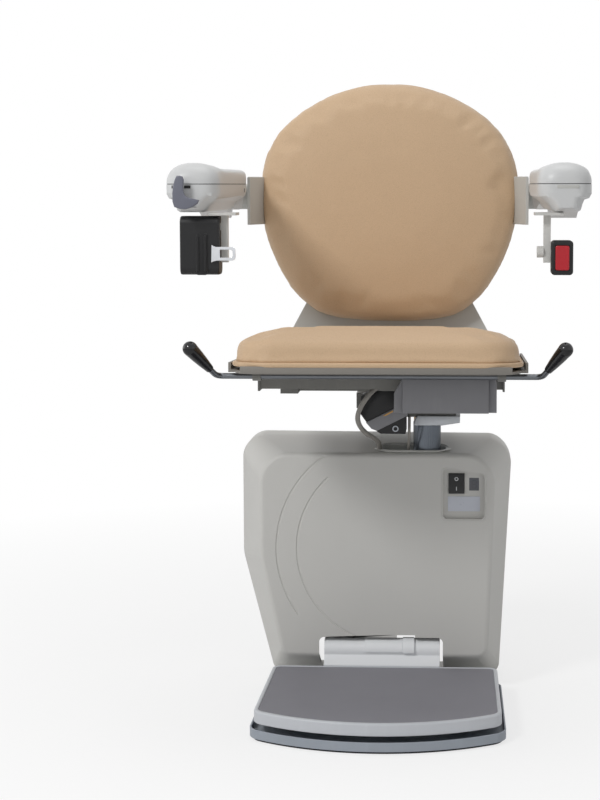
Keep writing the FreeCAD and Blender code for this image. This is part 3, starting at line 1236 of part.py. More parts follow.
def make_swivel():
    body = new_body("swivel_casting")
    skirt = new_sketch(body, "XY", CASTING_LOW)
    draw_circle(skirt, "column_x", AXIS_Y, "casting_radius")
    extrude(body, skirt, "casting_ring")
    plate = outline(body, "XY", PLATE_LOW, rectangle(
        "column_x - casting_left", "column_x + casting_right", AXIS_Y + " - casting_ahead",
        AXIS_Y + " + casting_ahead", "casting_corner"))
    extrude(body, plate, "casting_plate")
    bore = new_sketch(body, "XY", PLATE_HIGH)
    draw_circle(bore, "column_x", AXIS_Y, "column_radius + bush_wall + running_gap")
    extrude(body, bore, "casting_ring + 2 * casting_plate", "Pocket")

    riser_x = ("column_x - riser_left", "column_x + riser_right")
    riser_y = (AXIS_Y + " - riser_half", AXIS_Y + " + riser_half")
    riser = block(riser_x, riser_y, (PLATE_HIGH, "rail_high"))
    inner = block((riser_x[0] + " + frame_wall", riser_x[1] + " - frame_wall"),
                  (riser_y[0] + " + frame_wall", riser_y[1] + " - frame_wall"),
                  (PLATE_HIGH + " - 1", "rail_low"))
    channel = block(("-channel_half", "channel_half"), ("-channel_front", "channel_depth - channel_front"),
                    ("channel_low", "channel_high"))
    channel_inner = block(("-channel_half - 1", "channel_half + 1"),
                          ("frame_wall - channel_front", "channel_depth - channel_front - frame_wall"),
                          ("channel_low - 1", "channel_high - frame_wall"))
    ends = []
    for side in ("-1", "1"):
        ends.append(block((side + " * channel_half", side + " * (channel_half + end_plate)"),
                          ("-channel_front - end_plate", "channel_depth - channel_front"),
                          ("channel_low - end_plate", "channel_high")))
    rails = []
    for side in ("-1", "1"):
        rails.append(block((side + " * rail_half", side + " * (rail_half - rail_width)"),
                           ("channel_depth - channel_front - frame_wall", "-rail_back"),
                           ("rail_low", "rail_high")))
    cross = block(("-rail_half + 1", "rail_half - 1"), ("-cross_back - cross_depth", "-cross_back + cross_depth"),
                  ("rail_low", "rail_high"))
    lugs, pins = [], []
    for side in ("-1", "1"):
        start = "seat_lug_x - seat_lug_width / 2" if side == "1" else "-seat_lug_x - seat_lug_width / 2"
        eye = rod("seat_lug_radius", "seat_lug_width", start, "-seat_hinge_y", "seat_hinge_z", "X")
        tail = block((side + " * (rail_half - 1)", side + " * (seat_lug_x + seat_lug_width / 2)"),
                     ("-rail_back - 4 * seat_lug_radius", "-seat_hinge_y"), ("rail_low", "seat_hinge_z"))
        pins.append(rod("hinge_pin_radius", "2 * seat_lug_width",
                        (start + " - seat_lug_width") if side == "-1" else start,
                        "-seat_hinge_y", "seat_hinge_z", "X"))
        lugs += [eye, tail]
    clips = []
    for side in ("-1", "1"):
        start = side + " * lever_clip_x - lever_clip_width / 2"
        ear = rod("lever_clip_radius", "lever_clip_width", start, "-lever_y", "lever_z", "X")
        bar = block((start, start + " + lever_clip_width"), ("-lever_y", "-channel_front"),
                    ("lever_z - lever_clip_radius", "channel_high"))
        clips += [ear, bar]
    lever_hole = rod("lever_radius + running_gap", "4 * channel_half", "-2 * channel_half", "-lever_y",
                     "lever_z", "X")
    frame = fuse(cut(channel, channel_inner), *ends, *rails, cross, cut(riser, inner), *lugs, *pins, *clips)
    node(cut(frame, lever_hole), "seat_frame")
    make_mechanism_cover()
    make_junction_box()
    make_looms()


def make_mechanism_cover():
    body = new_body("mechanism_cover")
    left, right = "cover_plate_left", "cover_plate_right"
    front, back = "-cover_plate_front", "-channel_front - side_gap"
    facet = "cover_plate_facet"
    wall = "cover_plate_wall"
    shell = outline(body, "XY", "cover_plate_low", [
        (left, back), (left, front + " + " + facet), (left + " + " + facet, front), (right, front),
        (right, back + " - " + wall), (right + " + cover_flange", back + " - " + wall),
        (right + " + cover_flange", back)])
    extrude(body, shell, "cover_plate_high - cover_plate_low")
    inside = outline(body, "XY", "cover_plate_low + " + wall, [
        (left + " + " + wall, back + " + 1"), (left + " + " + wall, front + " + " + facet + " + " + wall),
        (left + " + " + facet + " + " + wall, front + " + " + wall), (right + " - " + wall, front + " + " + wall),
        (right + " - " + wall, back + " + 1")])
    extrude(body, inside, "cover_plate_high - cover_plate_low", "Pocket", True)
    vents = new_sketch(body, "XZ", "cover_plate_front + 1")
    for number in range(4):
        start = "%s + 2 * %s + %d * vent_pitch" % (left, facet, number)
        high = "cover_plate_high - 2 * cover_plate_wall"
        draw_loop(vents, rectangle(start, start + " + vent_width", high + " - vent_height", high))
    extrude(body, vents, "2 * " + wall, "Pocket")


BOX_HIGH = "(rail_low - side_gap)"


def make_junction_box():
    body = new_body("junction_box")
    face = outline(body, "XZ", "box_back", [
        ("-box_left", "box_low + box_slant", "box_corner"), ("box_slant - box_left", "box_low", "box_corner"),
        ("box_right", "box_low"), ("box_right", BOX_HIGH), ("-box_left", BOX_HIGH, "box_corner")])
    extrude(body, face, "box_front - box_back")
    strap = new_body("loom_bracket")
    ribbon = outline(strap, "XZ", "box_front + fit_gap", [
        ("-box_left", BOX_HIGH), ("strap_width - box_left", BOX_HIGH),
        ("box_right + strap_width / 2", "box_low - strap_width / 4"),
        ("box_right - strap_width / 2", "box_low - strap_width / 4")])
    extrude(strap, ribbon, "strap_thick")


def arc_through(first, middle, last):
    return Part.Arc(first, middle, last).toShape()


def path_tube(points, radius):
    """A tube along straight runs joined by tangent arcs, each as large as its two runs allow."""
    spots = [Vector(*point) for point in points]
    edges, start = [], spots[0]
    for before, here, after in zip(spots, spots[1:], spots[2:]):
        back, ahead = before - here, after - here
        half = back.getAngle(ahead) / 2
        reach = 0.45 * min(back.Length, ahead.Length)
        bend = reach * math.tan(half)
        print("loom bend radius %.1f" % bend)
        back.normalize()
        ahead.normalize()
        centre = here + (back + ahead).normalize() * (bend / math.sin(half))
        entry, leaving = here + back * reach, here + ahead * reach
        middle = centre + (here - centre).normalize() * bend
        edges.append(Part.LineSegment(start, entry).toShape())
        edges.append(Part.Arc(entry, middle, leaving).toShape())
        start = leaving
    edges.append(Part.LineSegment(start, spots[-1]).toShape())
    spine = Part.Wire(edges)
    direction = (spots[1] - spots[0]).normalize()
    profile = Part.Wire([Part.makeCircle(radius, spots[0], direction)])
    tube = spine.makePipeShell([profile], True, True)
    expected = math.pi * radius ** 2 * spine.Length
    if abs(tube.Volume - expected) > 0.02 * expected:
        raise RuntimeError("a loom's tube has the wrong volume")
    return tube


LOOM_ROUTE = [(-6, -216.5, 278), (-6, -232, 278), (-24, -241, 262), (-43, -237, 244), (-52, -222, 226),
              (-44, -200, 209), (-24, -177, 199), (-6, -157, 194), (4, -143, 182), (5, -138, 163), (5, -138, 146)]
THIN_LOOM_ROUTE = [(28, -177, 218), (28, -178, 208), (25, -171, 198), (28, -157, 190), (31, -146, 180),
                   (31, -143, 167), (31, -142, 152)]


def make_looms():
    looms = [path_tube(LOOM_ROUTE, val("loom_radius")), path_tube(THIN_LOOM_ROUTE, val("thin_loom_radius"))]
    shape_node("wiring_looms", Part.Compound(looms))


def make_lever():
    y, z, radius = val("lever_y"), val("lever_z"), val("lever_radius")
    bars, grips = [], []
    half, bend = val("lever_half"), val("lever_bend")
    straight = Part.makeCylinder(radius, 2 * (half - bend), Vector(bend - half, -y, z), Vector(1, 0, 0))
    for side in (-1, 1):
        corner = Vector(side * half, -y, z)
        base = Vector(side * val("grip_base_x"), -val("grip_base_y"), val("grip_base_z"))
        top = Vector(side * val("grip_top_x"), -val("grip_top_y"), val("grip_top_z"))
        along_grip = (top - base) / 4
        points = [corner - Vector(side * 3 * bend, 0, 0), corner, base - along_grip, base + along_grip * 2]
        bars.append(path_tube([tuple(point) for point in points], radius))
        grips.append(make_grip(base, top, radius + val("fit_gap")))
    shape_node("lever_bar", straight.fuse(bars).removeSplitter())
    shape_node("lever_grips", Part.Compound(grips))


def make_grip(base, top, bore):
    """A hand grip: a bored neck that swells to a rounded end."""
    length = (top - base).Length
    neck, thick = val("grip_neck"), val("grip_radius")
    shoulder = length - thick
    slope = math.sqrt(0.5)

    def spot(radius, height):
        return Vector(radius, 0, height)

    wire = Part.Wire([
        Part.LineSegment(spot(bore, 0), spot(neck, 0)).toShape(),
        arc_through(spot(neck, 0), spot((neck + thick) / 2 + val("grip_swell"), shoulder / 2),
                    spot(thick, shoulder)),
        arc_through(spot(thick, shoulder), spot(thick * slope, shoulder + thick * slope), spot(0, length)),
        Part.LineSegment(spot(0, length), spot(0, length / 2)).toShape(),
        Part.LineSegment(spot(0, length / 2), spot(bore, length / 2)).toShape(),
        Part.LineSegment(spot(bore, length / 2), spot(bore, 0)).toShape()])
    solid = Part.Face(wire).revolve(Vector(0, 0, 0), Vector(0, 0, 1), 360)
    if solid.Volume < 0:
        solid.reverse()
    solid.Placement = Placement(base, Rotation(Vector(0, 0, 1), top - base))
    return solid


# Seat

SEAT_TURN = Vector(-1, 0, 0)


def seat_plan(inset, radius_inset="0"):
    front, back = inset, "seat_length - (%s)" % inset
    half = "(seat_half - (%s))" % inset
    front_radius = "seat_corner - (%s)" % inset
    back_radius = "seat_back_corner - (%s)" % inset
    return [("-" + half, front, front_radius), (half, front, front_radius),
            (half, back, back_radius), ("-" + half, back, back_radius)]


def make_seat():
    pan = new_body("seat_pan")
    extrude(pan, outline(pan, "XY", "0", seat_plan("pan_inset")), "pan_thick")
    wings = rectangle("-pan_half", "pan_half", "seat_corner", "seat_length - seat_back_corner")
    extrude(pan, outline(pan, "XY", "0", wings), "pan_thick")
    rim = outline(pan, "XY", "0", rectangle("-pan_half", "-pan_half + pan_thick", "seat_corner",
                                           "seat_length - seat_back_corner"))
    draw_loop(rim, rectangle("pan_half - pan_thick", "pan_half", "seat_corner",
                             "seat_length - seat_back_corner"))
    extrude(pan, rim, "pan_rim")
    knuckle_y = "((seat_front - seat_hinge_y) * cos(seat_tilt) + (seat_low - seat_hinge_z) * sin(seat_tilt))"
    drop = "((seat_low - seat_hinge_z) * cos(seat_tilt) - (seat_front - seat_hinge_y) * sin(seat_tilt))"
    for side in ("-1", "1"):
        start = "seat_lug_x + seat_lug_width / 2 + side_gap" if side == "1" else \
            "-seat_lug_x - seat_lug_width * 3 / 2 - side_gap"
        ear = outline(pan, "YZ", start, [
            (knuckle_y + " - 2 * seat_lug_radius", "1"), (knuckle_y + " - seat_lug_radius", "-" + drop),
            (knuckle_y + " - seat_lug_radius", "-%s - seat_lug_radius" % drop, "seat_lug_radius / 2"),
            (knuckle_y + " + seat_lug_radius", "-%s - seat_lug_radius" % drop, "seat_lug_radius / 2"),
            (knuckle_y + " + seat_lug_radius", "1")])
        draw_circle(ear, knuckle_y, "-" + drop, "hinge_pin_radius + running_gap")
        extrude(pan, ear, "seat_lug_width")
    board = new_body("seat_board")
    extrude(board, outline(board, "XY", "pan_thick", seat_plan("board_inset")), "board_lip")
    for thing in (pan, board):
        place(thing, "0", "-seat_front", "seat_low", SEAT_TURN, "seat_tilt")
    cushion = cushion_form([
        (0, val("board_inset") + 2), (0.12, 1), (0.42, 0), (0.72, 2), (0.9, 8), (1, 18)],
        val("cushion_height"), val("seat_crown"), seat_ring)
    spot = Placement(Vector(0, -val("seat_front"), val("seat_low")),
                     Rotation(SEAT_TURN, val("seat_tilt")))
    lift = Placement(Vector(0, 0, val("pan_thick + board_lip + soft_gap")), Rotation())
    shape_node("seat_cushion", cushion, spot.multiply(lift))


def seat_ring(inset, height):
    """One level of the seat cushion: sides drawn in between their rounded corners."""
    half, length, pull = val("seat_half") - inset, val("seat_length"), val("side_pull")
    near, far = inset, length - inset
    corner, back_corner = max(val("seat_corner") - inset, 6), max(val("seat_back_corner") - inset, 6)
    slope = math.sqrt(0.5)

    def spot(x, y):
        return Vector(x, y, height)

    edges = [
        arc_through(spot(corner - half, near), spot(0, near + pull), spot(half - corner, near)),
        arc_through(spot(half - corner, near),
                    spot(half - corner + corner * slope, near + corner - corner * slope),
                    spot(half, near + corner)),
        arc_through(spot(half, near + corner), spot(half - pull, length / 2), spot(half, far - back_corner)),
        arc_through(spot(half, far - back_corner),
                    spot(half - back_corner * (1 - slope), far - back_corner * (1 - slope)),
                    spot(half - back_corner, far)),
        arc_through(spot(half - back_corner, far), spot(0, far - pull), spot(back_corner - half, far)),
        arc_through(spot(back_corner - half, far),
                    spot(back_corner * (1 - slope) - half, far - back_corner * (1 - slope)),
                    spot(-half, far - back_corner)),
        arc_through(spot(-half, far - back_corner), spot(pull - half, length / 2), spot(-half, near + corner)),
        arc_through(spot(-half, near + corner),
                    spot(corner * (1 - slope) - half, near + corner * (1 - slope)),
                    spot(corner - half, near))]
    return Part.Wire(edges)


def cushion_form(levels, height, crown, ring):
    """A cushion: levels (share of height, inset) up its side, then a crown that rises to the middle."""
    wires = [ring(inset, share * height) for share, inset in levels]
    last = levels[-1][1]
    for step in (0.3, 0.6, 0.85):
        inset = last + val("seat_crown_step") * step
        wires.append(ring(inset, height + crown * math.sin(step * math.pi / 2)))
    return Part.makeLoft(wires, True, False)


# Back

def back_ring(inset, height):
    """One level of the back cushion: an egg outline of eight arcs, seen along the cushion's depth."""
    half = val("back_half") - inset
    low, high = val("back_low") - inset, val("back_high") - inset
    rows = []
    for number in range(16):
        angle = math.radians(22.5 * number)
        rise = low if math.sin(angle) < 0 else high
        power = 0.88 if math.sin(angle) < 0 else 1.0
        x = half * math.copysign(abs(math.cos(angle)) ** power, math.cos(angle))
        z = rise * math.copysign(abs(math.sin(angle)) ** power, math.sin(angle))
        rows.append(Vector(x if abs(x) > 1e-6 else 0, height, val("back_low") + z))
    edges = [arc_through(rows[number], rows[number + 1], rows[(number + 2) % 16]) for number in range(0, 16, 2)]
    return Part.Wire(edges)


def back_place():
    return Placement(Vector(0, -val("back_y"), val("back_z")), Rotation(SEAT_TURN, val("recline")))


def make_back():
    depth = val("back_thick")
    wires = []
    shoulder = val("back_shoulder")
    for share, inset in ((0, 0.3), (0.14, 0.05), (0.45, 0), (0.72, 0.15), (0.9, 0.5), (1, 1)):
        wires.append(back_ring(shoulder * inset, depth * (1 - share)))
    for step in (0.3, 0.6, 0.85):
        wires.append(back_ring(shoulder + val("back_crown_step") * step,
                               -val("back_crown") * math.sin(step * math.pi / 2)))
    shape_node("back_cushion", Part.makeLoft(wires, True, False), back_place())
    near = depth + val("soft_gap")
    inset, thick = val("shell_inset"), val("shell_thick")
    shell = Part.makeLoft([back_ring(inset, near), back_ring(inset, near + thick * 0.5),
                           back_ring(inset + thick * 0.9, near + thick)], True, True)
    low = -val("skirt_drop")
    corners = [(-val("skirt_low"), low), (val("skirt_low"), low), (val("skirt_top"), val("skirt_rise")),
               (-val("skirt_top"), val("skirt_rise"))]
    start = near + thick - val("skirt_thick")
    spots = [Vector(x, start, z) for x, z in corners]
    skirt = Part.Face(Part.makePolygon(spots + spots[:1])).extrude(Vector(0, val("skirt_thick"), 0))
    shape_node("back_shell", shell.fuse(skirt).removeSplitter(), back_place())
    back = "back_thick + soft_gap + shell_thick"
    upright = block(("-upright_half", "upright_half"), (back, back + " + upright_depth"),
                    ("foot_low - back_z + upright_lift", "upright_height"))
    make_upright(upright)
    make_hubs()


def make_upright(upright):
    """The upright leans with the back and stands on a level beam from the seat riser."""
    tilted = doc.addObject("Part::Compound", "Tilted")
    tilted.Links = [upright]
    place(tilted, "0", "-back_y", "back_z", SEAT_TURN, "recline")
    beam = block(("-upright_half", "column_x + riser_right"),
                 (AXIS_Y + " + riser_half", "back_thick + upright_depth - back_y"),
                 ("foot_low", "foot_high"))
    node(fuse(tilted, beam), "back_upright")


def make_hubs():
    hubs = []
    back_of_shell = ("(back_thick + soft_gap + shell_thick) / cos(recline) + soft_gap - back_y"
                     " + (arm_pivot_z + hub_radius / 2 - back_z) * tan(recline)")
    for side in ("-1", "1"):
        inner, outer = side + " * hub_inner", side + " * hub_outer"
        start = inner if side == "1" else outer
        drum = rod("hub_radius", "hub_outer - hub_inner", start, "-arm_pivot_y", "arm_pivot_z", "X")
        pin_start = inner if side == "1" else "%s * (%s - arm_wall * 3)" % (side, ARM_OUTER)
        pin = rod("arm_pin_radius", ARM_OUTER + " - arm_wall * 3 - hub_inner", pin_start, "-arm_pivot_y",
                  "arm_pivot_z", "X")
        plate = block((side + " * (back_half / 2)", outer),
                      (back_of_shell, back_of_shell + " + hub_arm_thick"),
                      ("arm_pivot_z - hub_radius / 2", "arm_pivot_z + hub_radius / 2"))
        link = block((inner, outer), ("-arm_pivot_y", back_of_shell + " + hub_arm_thick"),
                     ("arm_pivot_z - hub_radius / 2", "arm_pivot_z + hub_radius / 2"))
        hubs.append(fuse(drum, link, plate, pin))
    node(group(*hubs), "arm_hubs")


# Arms

def make_arm(name, side):
    outer, inner = side + " * " + ARM_OUTER, side + " * arm_inner"
    ear = side + " * ear_inner"
    wall = "arm_wall"

    top = new_body(name + "_arm_top")
    extrude(top, outline(top, "XY", ARM_PARTING + " + fit_gap", arm_plan(side, "0")),
            "arm_crown_height - fit_gap")
    round_edges(top, "arm_crown_round", front_rim(ARM_TOP))
    hollow = outline(top, "XY", ARM_PARTING + " + fit_gap", arm_plan(side, wall, wall))
    extrude(top, hollow, "arm_crown_height - arm_crown_round * 2 / 3", "Pocket", True)

    base = new_body(name + "_arm_base")
    loft(base, outline(base, "XY", ARM_PARTING, arm_plan(side, "0")),
         outline(base, "XY", "arm_low", arm_plan(side, "arm_taper")))
    round_edges(base, "arm_low_round", front_rim("arm_low"))
    well = outline(base, "XY", "arm_low + " + wall, arm_plan(side, "arm_taper + " + wall, wall))
    extrude(base, well, "arm_base_height", "Pocket", True)
    ear_plate = outline(base, "YZ", ear if side == "1" else outer, [
        ("-arm_rear - 1", "arm_low"), ("-arm_pivot_y", "arm_pivot_z - ear_radius", "ear_radius / 2"),
        ("ear_radius - arm_pivot_y", "arm_pivot_z - ear_radius", "ear_radius * 0.7"),
        ("ear_radius - arm_pivot_y", ARM_PARTING + " + ear_radius / 2", "ear_radius * 0.7"),
        ("-arm_rear - 1", ARM_PARTING + " - arm_wall")])
    draw_circle(ear_plate, "-arm_pivot_y", "arm_pivot_z", "arm_pin_radius + running_gap")
    extrude(base, ear_plate, ARM_OUTER + " - ear_inner")

    tee = block((side + " * tee_inner", side + " * tee_outer"), ("-tee_front", "tee_length - tee_front"),
                ("arm_low - tee_thick - fit_gap", "arm_low - fit_gap"))
    stem_x = (side + " * stem_inner", side + " * (stem_inner + stem_width)")
    middle = "tee_length / 2 - tee_front"
    stem = block(stem_x, (middle + " - tee_thick", middle + " + tee_thick"),
                 ("stem_low", "arm_low - tee_thick - fit_gap"))
    return base, tee, stem, middle


def arm_plan(side, inset, rear_inset="0"):
    """An arm's plan with a rounded nose, drawn in by one inset and at its rear by another."""
    outer = "%s * (%s - (%s))" % (side, ARM_OUTER, inset)
    inner = "%s * (arm_inner + (%s))" % (side, inset)
    front, rear = "-(arm_front - (%s))" % inset, "-(arm_rear + %s)" % rear_inset
    nose = "arm_nose_round - (%s)" % inset
    return [(outer, rear), (inner, rear), (inner, front, nose), (outer, front, nose)]


def front_rim(level):
    """Picks the edges at one height except the one across the arm's rear end."""
    at_level = at_height("Z", level)

    def chosen(edge):
        return at_level(edge) and edge.BoundBox.YMin < val("-arm_rear - 1")
    return chosen


def make_arms():
    base, tee, stem, middle = make_arm("left", "-1")
    reel_back = middle + " + reel_depth / 2"
    body = new_body("belt_reel")
    side = outline(body, "YZ", "-reel_outer", [
        (middle + " - reel_depth / 2", "reel_low", "reel_corner"), (reel_back, "reel_low", "reel_corner"),
        (reel_back, "reel_high", "reel_corner"), (middle + " - reel_depth / 2", "reel_high", "reel_corner")])
    extrude(body, side, "reel_outer - reel_inner")
    front = middle + " - reel_depth / 2"
    lug = block(("-reel_inner", "-stem_inner - stem_width"),
                (middle + " - tee_thick", middle + " + tee_thick"),
                ("reel_high - 2 * reel_corner", "reel_high - reel_corner"))
    web_x = ("-reel_inner - web_width", "-reel_inner + side_gap")
    node(fuse(tee, stem, lug), "left_belt_bracket")
    tongue_y = front + " - tongue_thick - web_thick"
    tongue = cut(block(("-tongue_outer", "-tongue_inner"), (tongue_y, tongue_y + " + tongue_thick"),
                       ("tongue_low", "tongue_high")),
                 block(("-tongue_outer + tongue_window / 3", "-tongue_outer + tongue_window"),
                       (tongue_y + " - 1", tongue_y + " + tongue_thick + 1"),
                       ("tongue_low + tongue_window / 3", "tongue_high - tongue_window / 3")),
                 block(("-tongue_inner - tongue_window * 2 / 3", "-tongue_inner - tongue_window / 4"),
                       (tongue_y + " - 1", tongue_y + " + tongue_thick + 1"),
                       ("tongue_low + tongue_window * 2 / 3", "tongue_high - tongue_window * 2 / 3")))
    node(tongue, "belt_tongue")
    web = block(web_x, (front + " - web_thick", front), ("tongue_low + fit_gap", "tongue_low + web_width"))
    node(web, "belt_web")
    make_paddle(base)
    make_buckle()


def make_paddle(arm):
    """The toggle on an arm's nose; its stem turns in a bore of the arm."""
    centre_z = "(paddle_low + paddle_high) / 2"
    radius = "((paddle_high - paddle_low) / 2 - paddle_thick)"
    centre_x = "(paddle_thick - (paddle_left + paddle_right) / 2)"
    stem_x = "%s - %s" % (centre_x, radius)
    body = new_body("toggle_paddle")
    crescent = new_sketch(body, "XZ", "arm_front + paddle_stem")
    draw_band(crescent, centre_x, centre_z, radius, "paddle_thick * 2", "paddle_start", "paddle_end")
    extrude(body, crescent, "paddle_thick")
    stem = new_sketch(body, "XZ", "arm_front - paddle_bore")
    draw_circle(stem, stem_x, centre_z, "paddle_stem_radius")
    extrude(body, stem, "paddle_bore + paddle_stem + paddle_thick / 2")
    bore = new_sketch(arm, "XZ", "arm_front + 1")
    draw_circle(bore, stem_x, centre_z, "paddle_stem_radius + running_gap")
    extrude(arm, bore, "paddle_bore + 1 + side_gap", "Pocket")


def make_buckle():
    tee, stem, middle = make_arm("right", "1")[1:]
    bolt = rod("buckle_bolt_radius", "nut_thick + stem_width + (buckle_outer - buckle_inner) / 3",
               "stem_inner - nut_thick", middle, "buckle_bolt_z", "X")
    nut = rod("nut_radius", "nut_thick", "stem_inner - nut_thick", middle, "buckle_bolt_z", "X")
    node(fuse(tee, stem, bolt, nut), "right_belt_bracket")
    front, back = middle + " - buckle_depth / 2", middle + " + buckle_depth / 2"
    body = new_body("buckle_body")
    case = outline(body, "XZ", "-(%s)" % back, rectangle(
        "buckle_inner", "buckle_outer", "buckle_low", "buckle_high", "buckle_corner"))
    extrude(body, case, "buckle_depth")
    round_edges(body, "buckle_corner / 2", at_height("Y", front))
    hole = new_sketch(body, "YZ", "buckle_inner - 1")
    draw_circle(hole, middle, "buckle_bolt_z", "buckle_bolt_radius + running_gap")
    extrude(body, hole, "(buckle_outer - buckle_inner) / 3 + 1 + side_gap", "Pocket", True)
    centre_x = "(buckle_inner + buckle_outer) / 2"
    centre_z = "(buckle_low + buckle_high) / 2"
    pocket = outline(body, "XZ", "-(%s)" % front, rectangle(
        centre_x + " - button_width / 2 - side_gap", centre_x + " + button_width / 2 + side_gap",
        centre_z + " - button_height / 2 - side_gap", centre_z + " + button_height / 2 + side_gap"))
    extrude(body, pocket, "button_travel + 2 * side_gap", "Pocket")
    slot_back = "-(%s) + latch_wall" % back
    slot = outline(body, "XY", "buckle_high", rectangle(
        centre_x + " - latch_width / 2", centre_x + " + latch_width / 2",
        "-(%s) - latch_gap" % slot_back, "-(%s)" % slot_back))
    extrude(body, slot, "latch_depth", "Pocket")
    button = new_body("buckle_button")
    cap = outline(button, "XZ", "-(%s) - side_gap" % front, rectangle(
        centre_x + " - button_width / 2", centre_x + " + button_width / 2",
        centre_z + " - button_height / 2", centre_z + " + button_height / 2", "buckle_corner / 2"))
    extrude(button, cap, "button_rise")


def check_and_export():
    doc.recompute()
    failed = ["%s (%s)" % (thing.Name, thing.Label) for thing in doc.Objects
              if "Invalid" in thing.State or "Error" in thing.State]
    if failed:
        raise RuntimeError("these objects failed: " + ", ".join(failed))
    os.makedirs("parts", exist_ok=True)
    for thing in NODES:
        if thing.Shape.isNull() or not thing.Shape.isValid():
            raise RuntimeError("%s has no valid shape" % thing.Label)
    for thing in NODES:
        thing.Shape.exportStep("parts/%s.step" % thing.Label)


make_chassis()
make_guide_pad()
make_rollers()
make_pinion()
make_drive()
make_power()
make_cover()
make_switches()
make_column()
make_footplate()
make_swivel()
make_lever()
make_seat()
make_back()
make_arms()
check_and_export()
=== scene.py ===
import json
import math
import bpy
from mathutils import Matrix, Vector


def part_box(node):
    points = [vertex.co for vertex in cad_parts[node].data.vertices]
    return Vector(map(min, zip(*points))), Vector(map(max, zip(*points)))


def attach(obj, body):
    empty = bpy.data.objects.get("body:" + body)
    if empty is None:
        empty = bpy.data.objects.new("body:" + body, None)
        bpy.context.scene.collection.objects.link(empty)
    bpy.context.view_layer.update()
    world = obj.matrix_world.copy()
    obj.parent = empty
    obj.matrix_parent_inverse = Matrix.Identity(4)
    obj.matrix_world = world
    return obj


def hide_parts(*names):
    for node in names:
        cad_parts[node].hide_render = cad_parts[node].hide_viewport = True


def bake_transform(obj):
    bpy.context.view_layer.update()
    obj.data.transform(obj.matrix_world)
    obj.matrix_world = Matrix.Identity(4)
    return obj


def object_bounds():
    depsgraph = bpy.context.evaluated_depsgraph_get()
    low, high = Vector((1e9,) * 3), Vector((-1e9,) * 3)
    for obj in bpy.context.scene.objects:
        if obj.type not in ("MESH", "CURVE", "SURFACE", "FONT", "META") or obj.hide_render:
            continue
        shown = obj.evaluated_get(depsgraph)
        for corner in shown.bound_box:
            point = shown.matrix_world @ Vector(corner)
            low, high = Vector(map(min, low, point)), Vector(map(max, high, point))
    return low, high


bl_info = {
    "name": "Stairlift Chair",
    "version": (1, 0, 0),
    "blender": (4, 5, 0),
    "location": "3D View > Sidebar > Stairlift",
    "description": "Dresses the packed stairlift chair: covers, upholstery, arms, belt and stage",
    "category": "Add Mesh",
}

import bmesh
import bpy
from bpy.props import FloatProperty, FloatVectorProperty, IntProperty, PointerProperty
from bpy.types import Operator, Panel, PropertyGroup
from mathutils import Matrix, Vector

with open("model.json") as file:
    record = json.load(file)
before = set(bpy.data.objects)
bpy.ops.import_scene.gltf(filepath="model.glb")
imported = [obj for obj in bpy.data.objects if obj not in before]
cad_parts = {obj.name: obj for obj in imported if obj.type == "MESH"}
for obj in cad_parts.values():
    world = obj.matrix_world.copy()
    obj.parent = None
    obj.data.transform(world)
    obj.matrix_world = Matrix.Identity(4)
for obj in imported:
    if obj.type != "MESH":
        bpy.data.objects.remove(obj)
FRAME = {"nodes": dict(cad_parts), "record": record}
CAD_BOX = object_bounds()
BODY_OF = {
    name: body for body, names in FRAME["record"]["behaviour"]["bodies"].items() for name in names
}


def paint(red, green, blue):
    """A linear colour from the 0-255 numbers of a screen colour."""
    return tuple(
        level / 255 / 12.92 if level < 11 else ((level / 255 + 0.055) / 1.055) ** 2.4
        for level in (red, green, blue)
    )


def colour_property(name, description, shade):
    return FloatVectorProperty(
        name=name, description=description, subtype="COLOR", size=3, min=0, max=1, default=paint(*shade)
    )


def length_property(name, description, millimetres):
    return FloatProperty(
        name=name, description=description, subtype="DISTANCE", unit="LENGTH", min=0,
        default=millimetres / 1000,
    )


class StairliftColours(PropertyGroup):
    cover: colour_property("Cover", "Moulded carriage cover", (205, 204, 200))
    arm: colour_property("Arm shells", "Moulded arm shells", (210, 211, 211))
    bracket: colour_property("Brackets", "Painted belt brackets", (205, 204, 200))
    shell: colour_property("Shells", "Seat pan, back shell and hub covers", (196, 196, 192))
    vinyl: colour_property("Upholstery", "Beige upholstery vinyl", (213, 182, 147))
    tray: colour_property("Footplate", "White footplate tray", (204, 207, 212))
    pan: colour_property("Safety pan", "Moulded safety pan", (158, 165, 174))
    mat: colour_property("Mat", "Ribbed rubber mat", (146, 145, 152))
    rubber: colour_property("Rubber", "Black rubber", (40, 41, 46))
    black: colour_property("Black plastic", "Moulded black plastic", (9, 9, 12))
    grip: colour_property("Grips", "Glossy black grips", (12, 13, 17))
    steel: colour_property("Zinc steel", "Zinc-plated steel", (168, 172, 178))
    tube: colour_property("Column", "Plated column tube", (112, 118, 126))
    dark_paint: colour_property("Frame paint", "Powder-coated seat frame", (122, 121, 117))
    box_paint: colour_property("Grey paint", "Powder-coated mechanism cover", (134, 134, 138))
    chassis_paint: colour_property("Chassis paint", "Black powder coat", (52, 53, 56))
    red: colour_property("Button", "Red buckle button", (190, 26, 40))
    loom: colour_property("Loom", "Corrugated loom sleeve", (150, 146, 140))
    paddle: colour_property("Toggle", "Grey toggle paddle", (112, 114, 126))
    nylon: colour_property("Nylon", "Rail rollers and guide pad", (212, 210, 200))
    bronze: colour_property("Bronze", "Bush and contacts", (176, 138, 86))
    board: colour_property("Board", "Circuit board", (30, 92, 60))
    plate: colour_property("Plate", "Bare plate in the switch recess", (206, 210, 220))
    floor: colour_property("Floor", "Pale studio floor", (246, 246, 246))


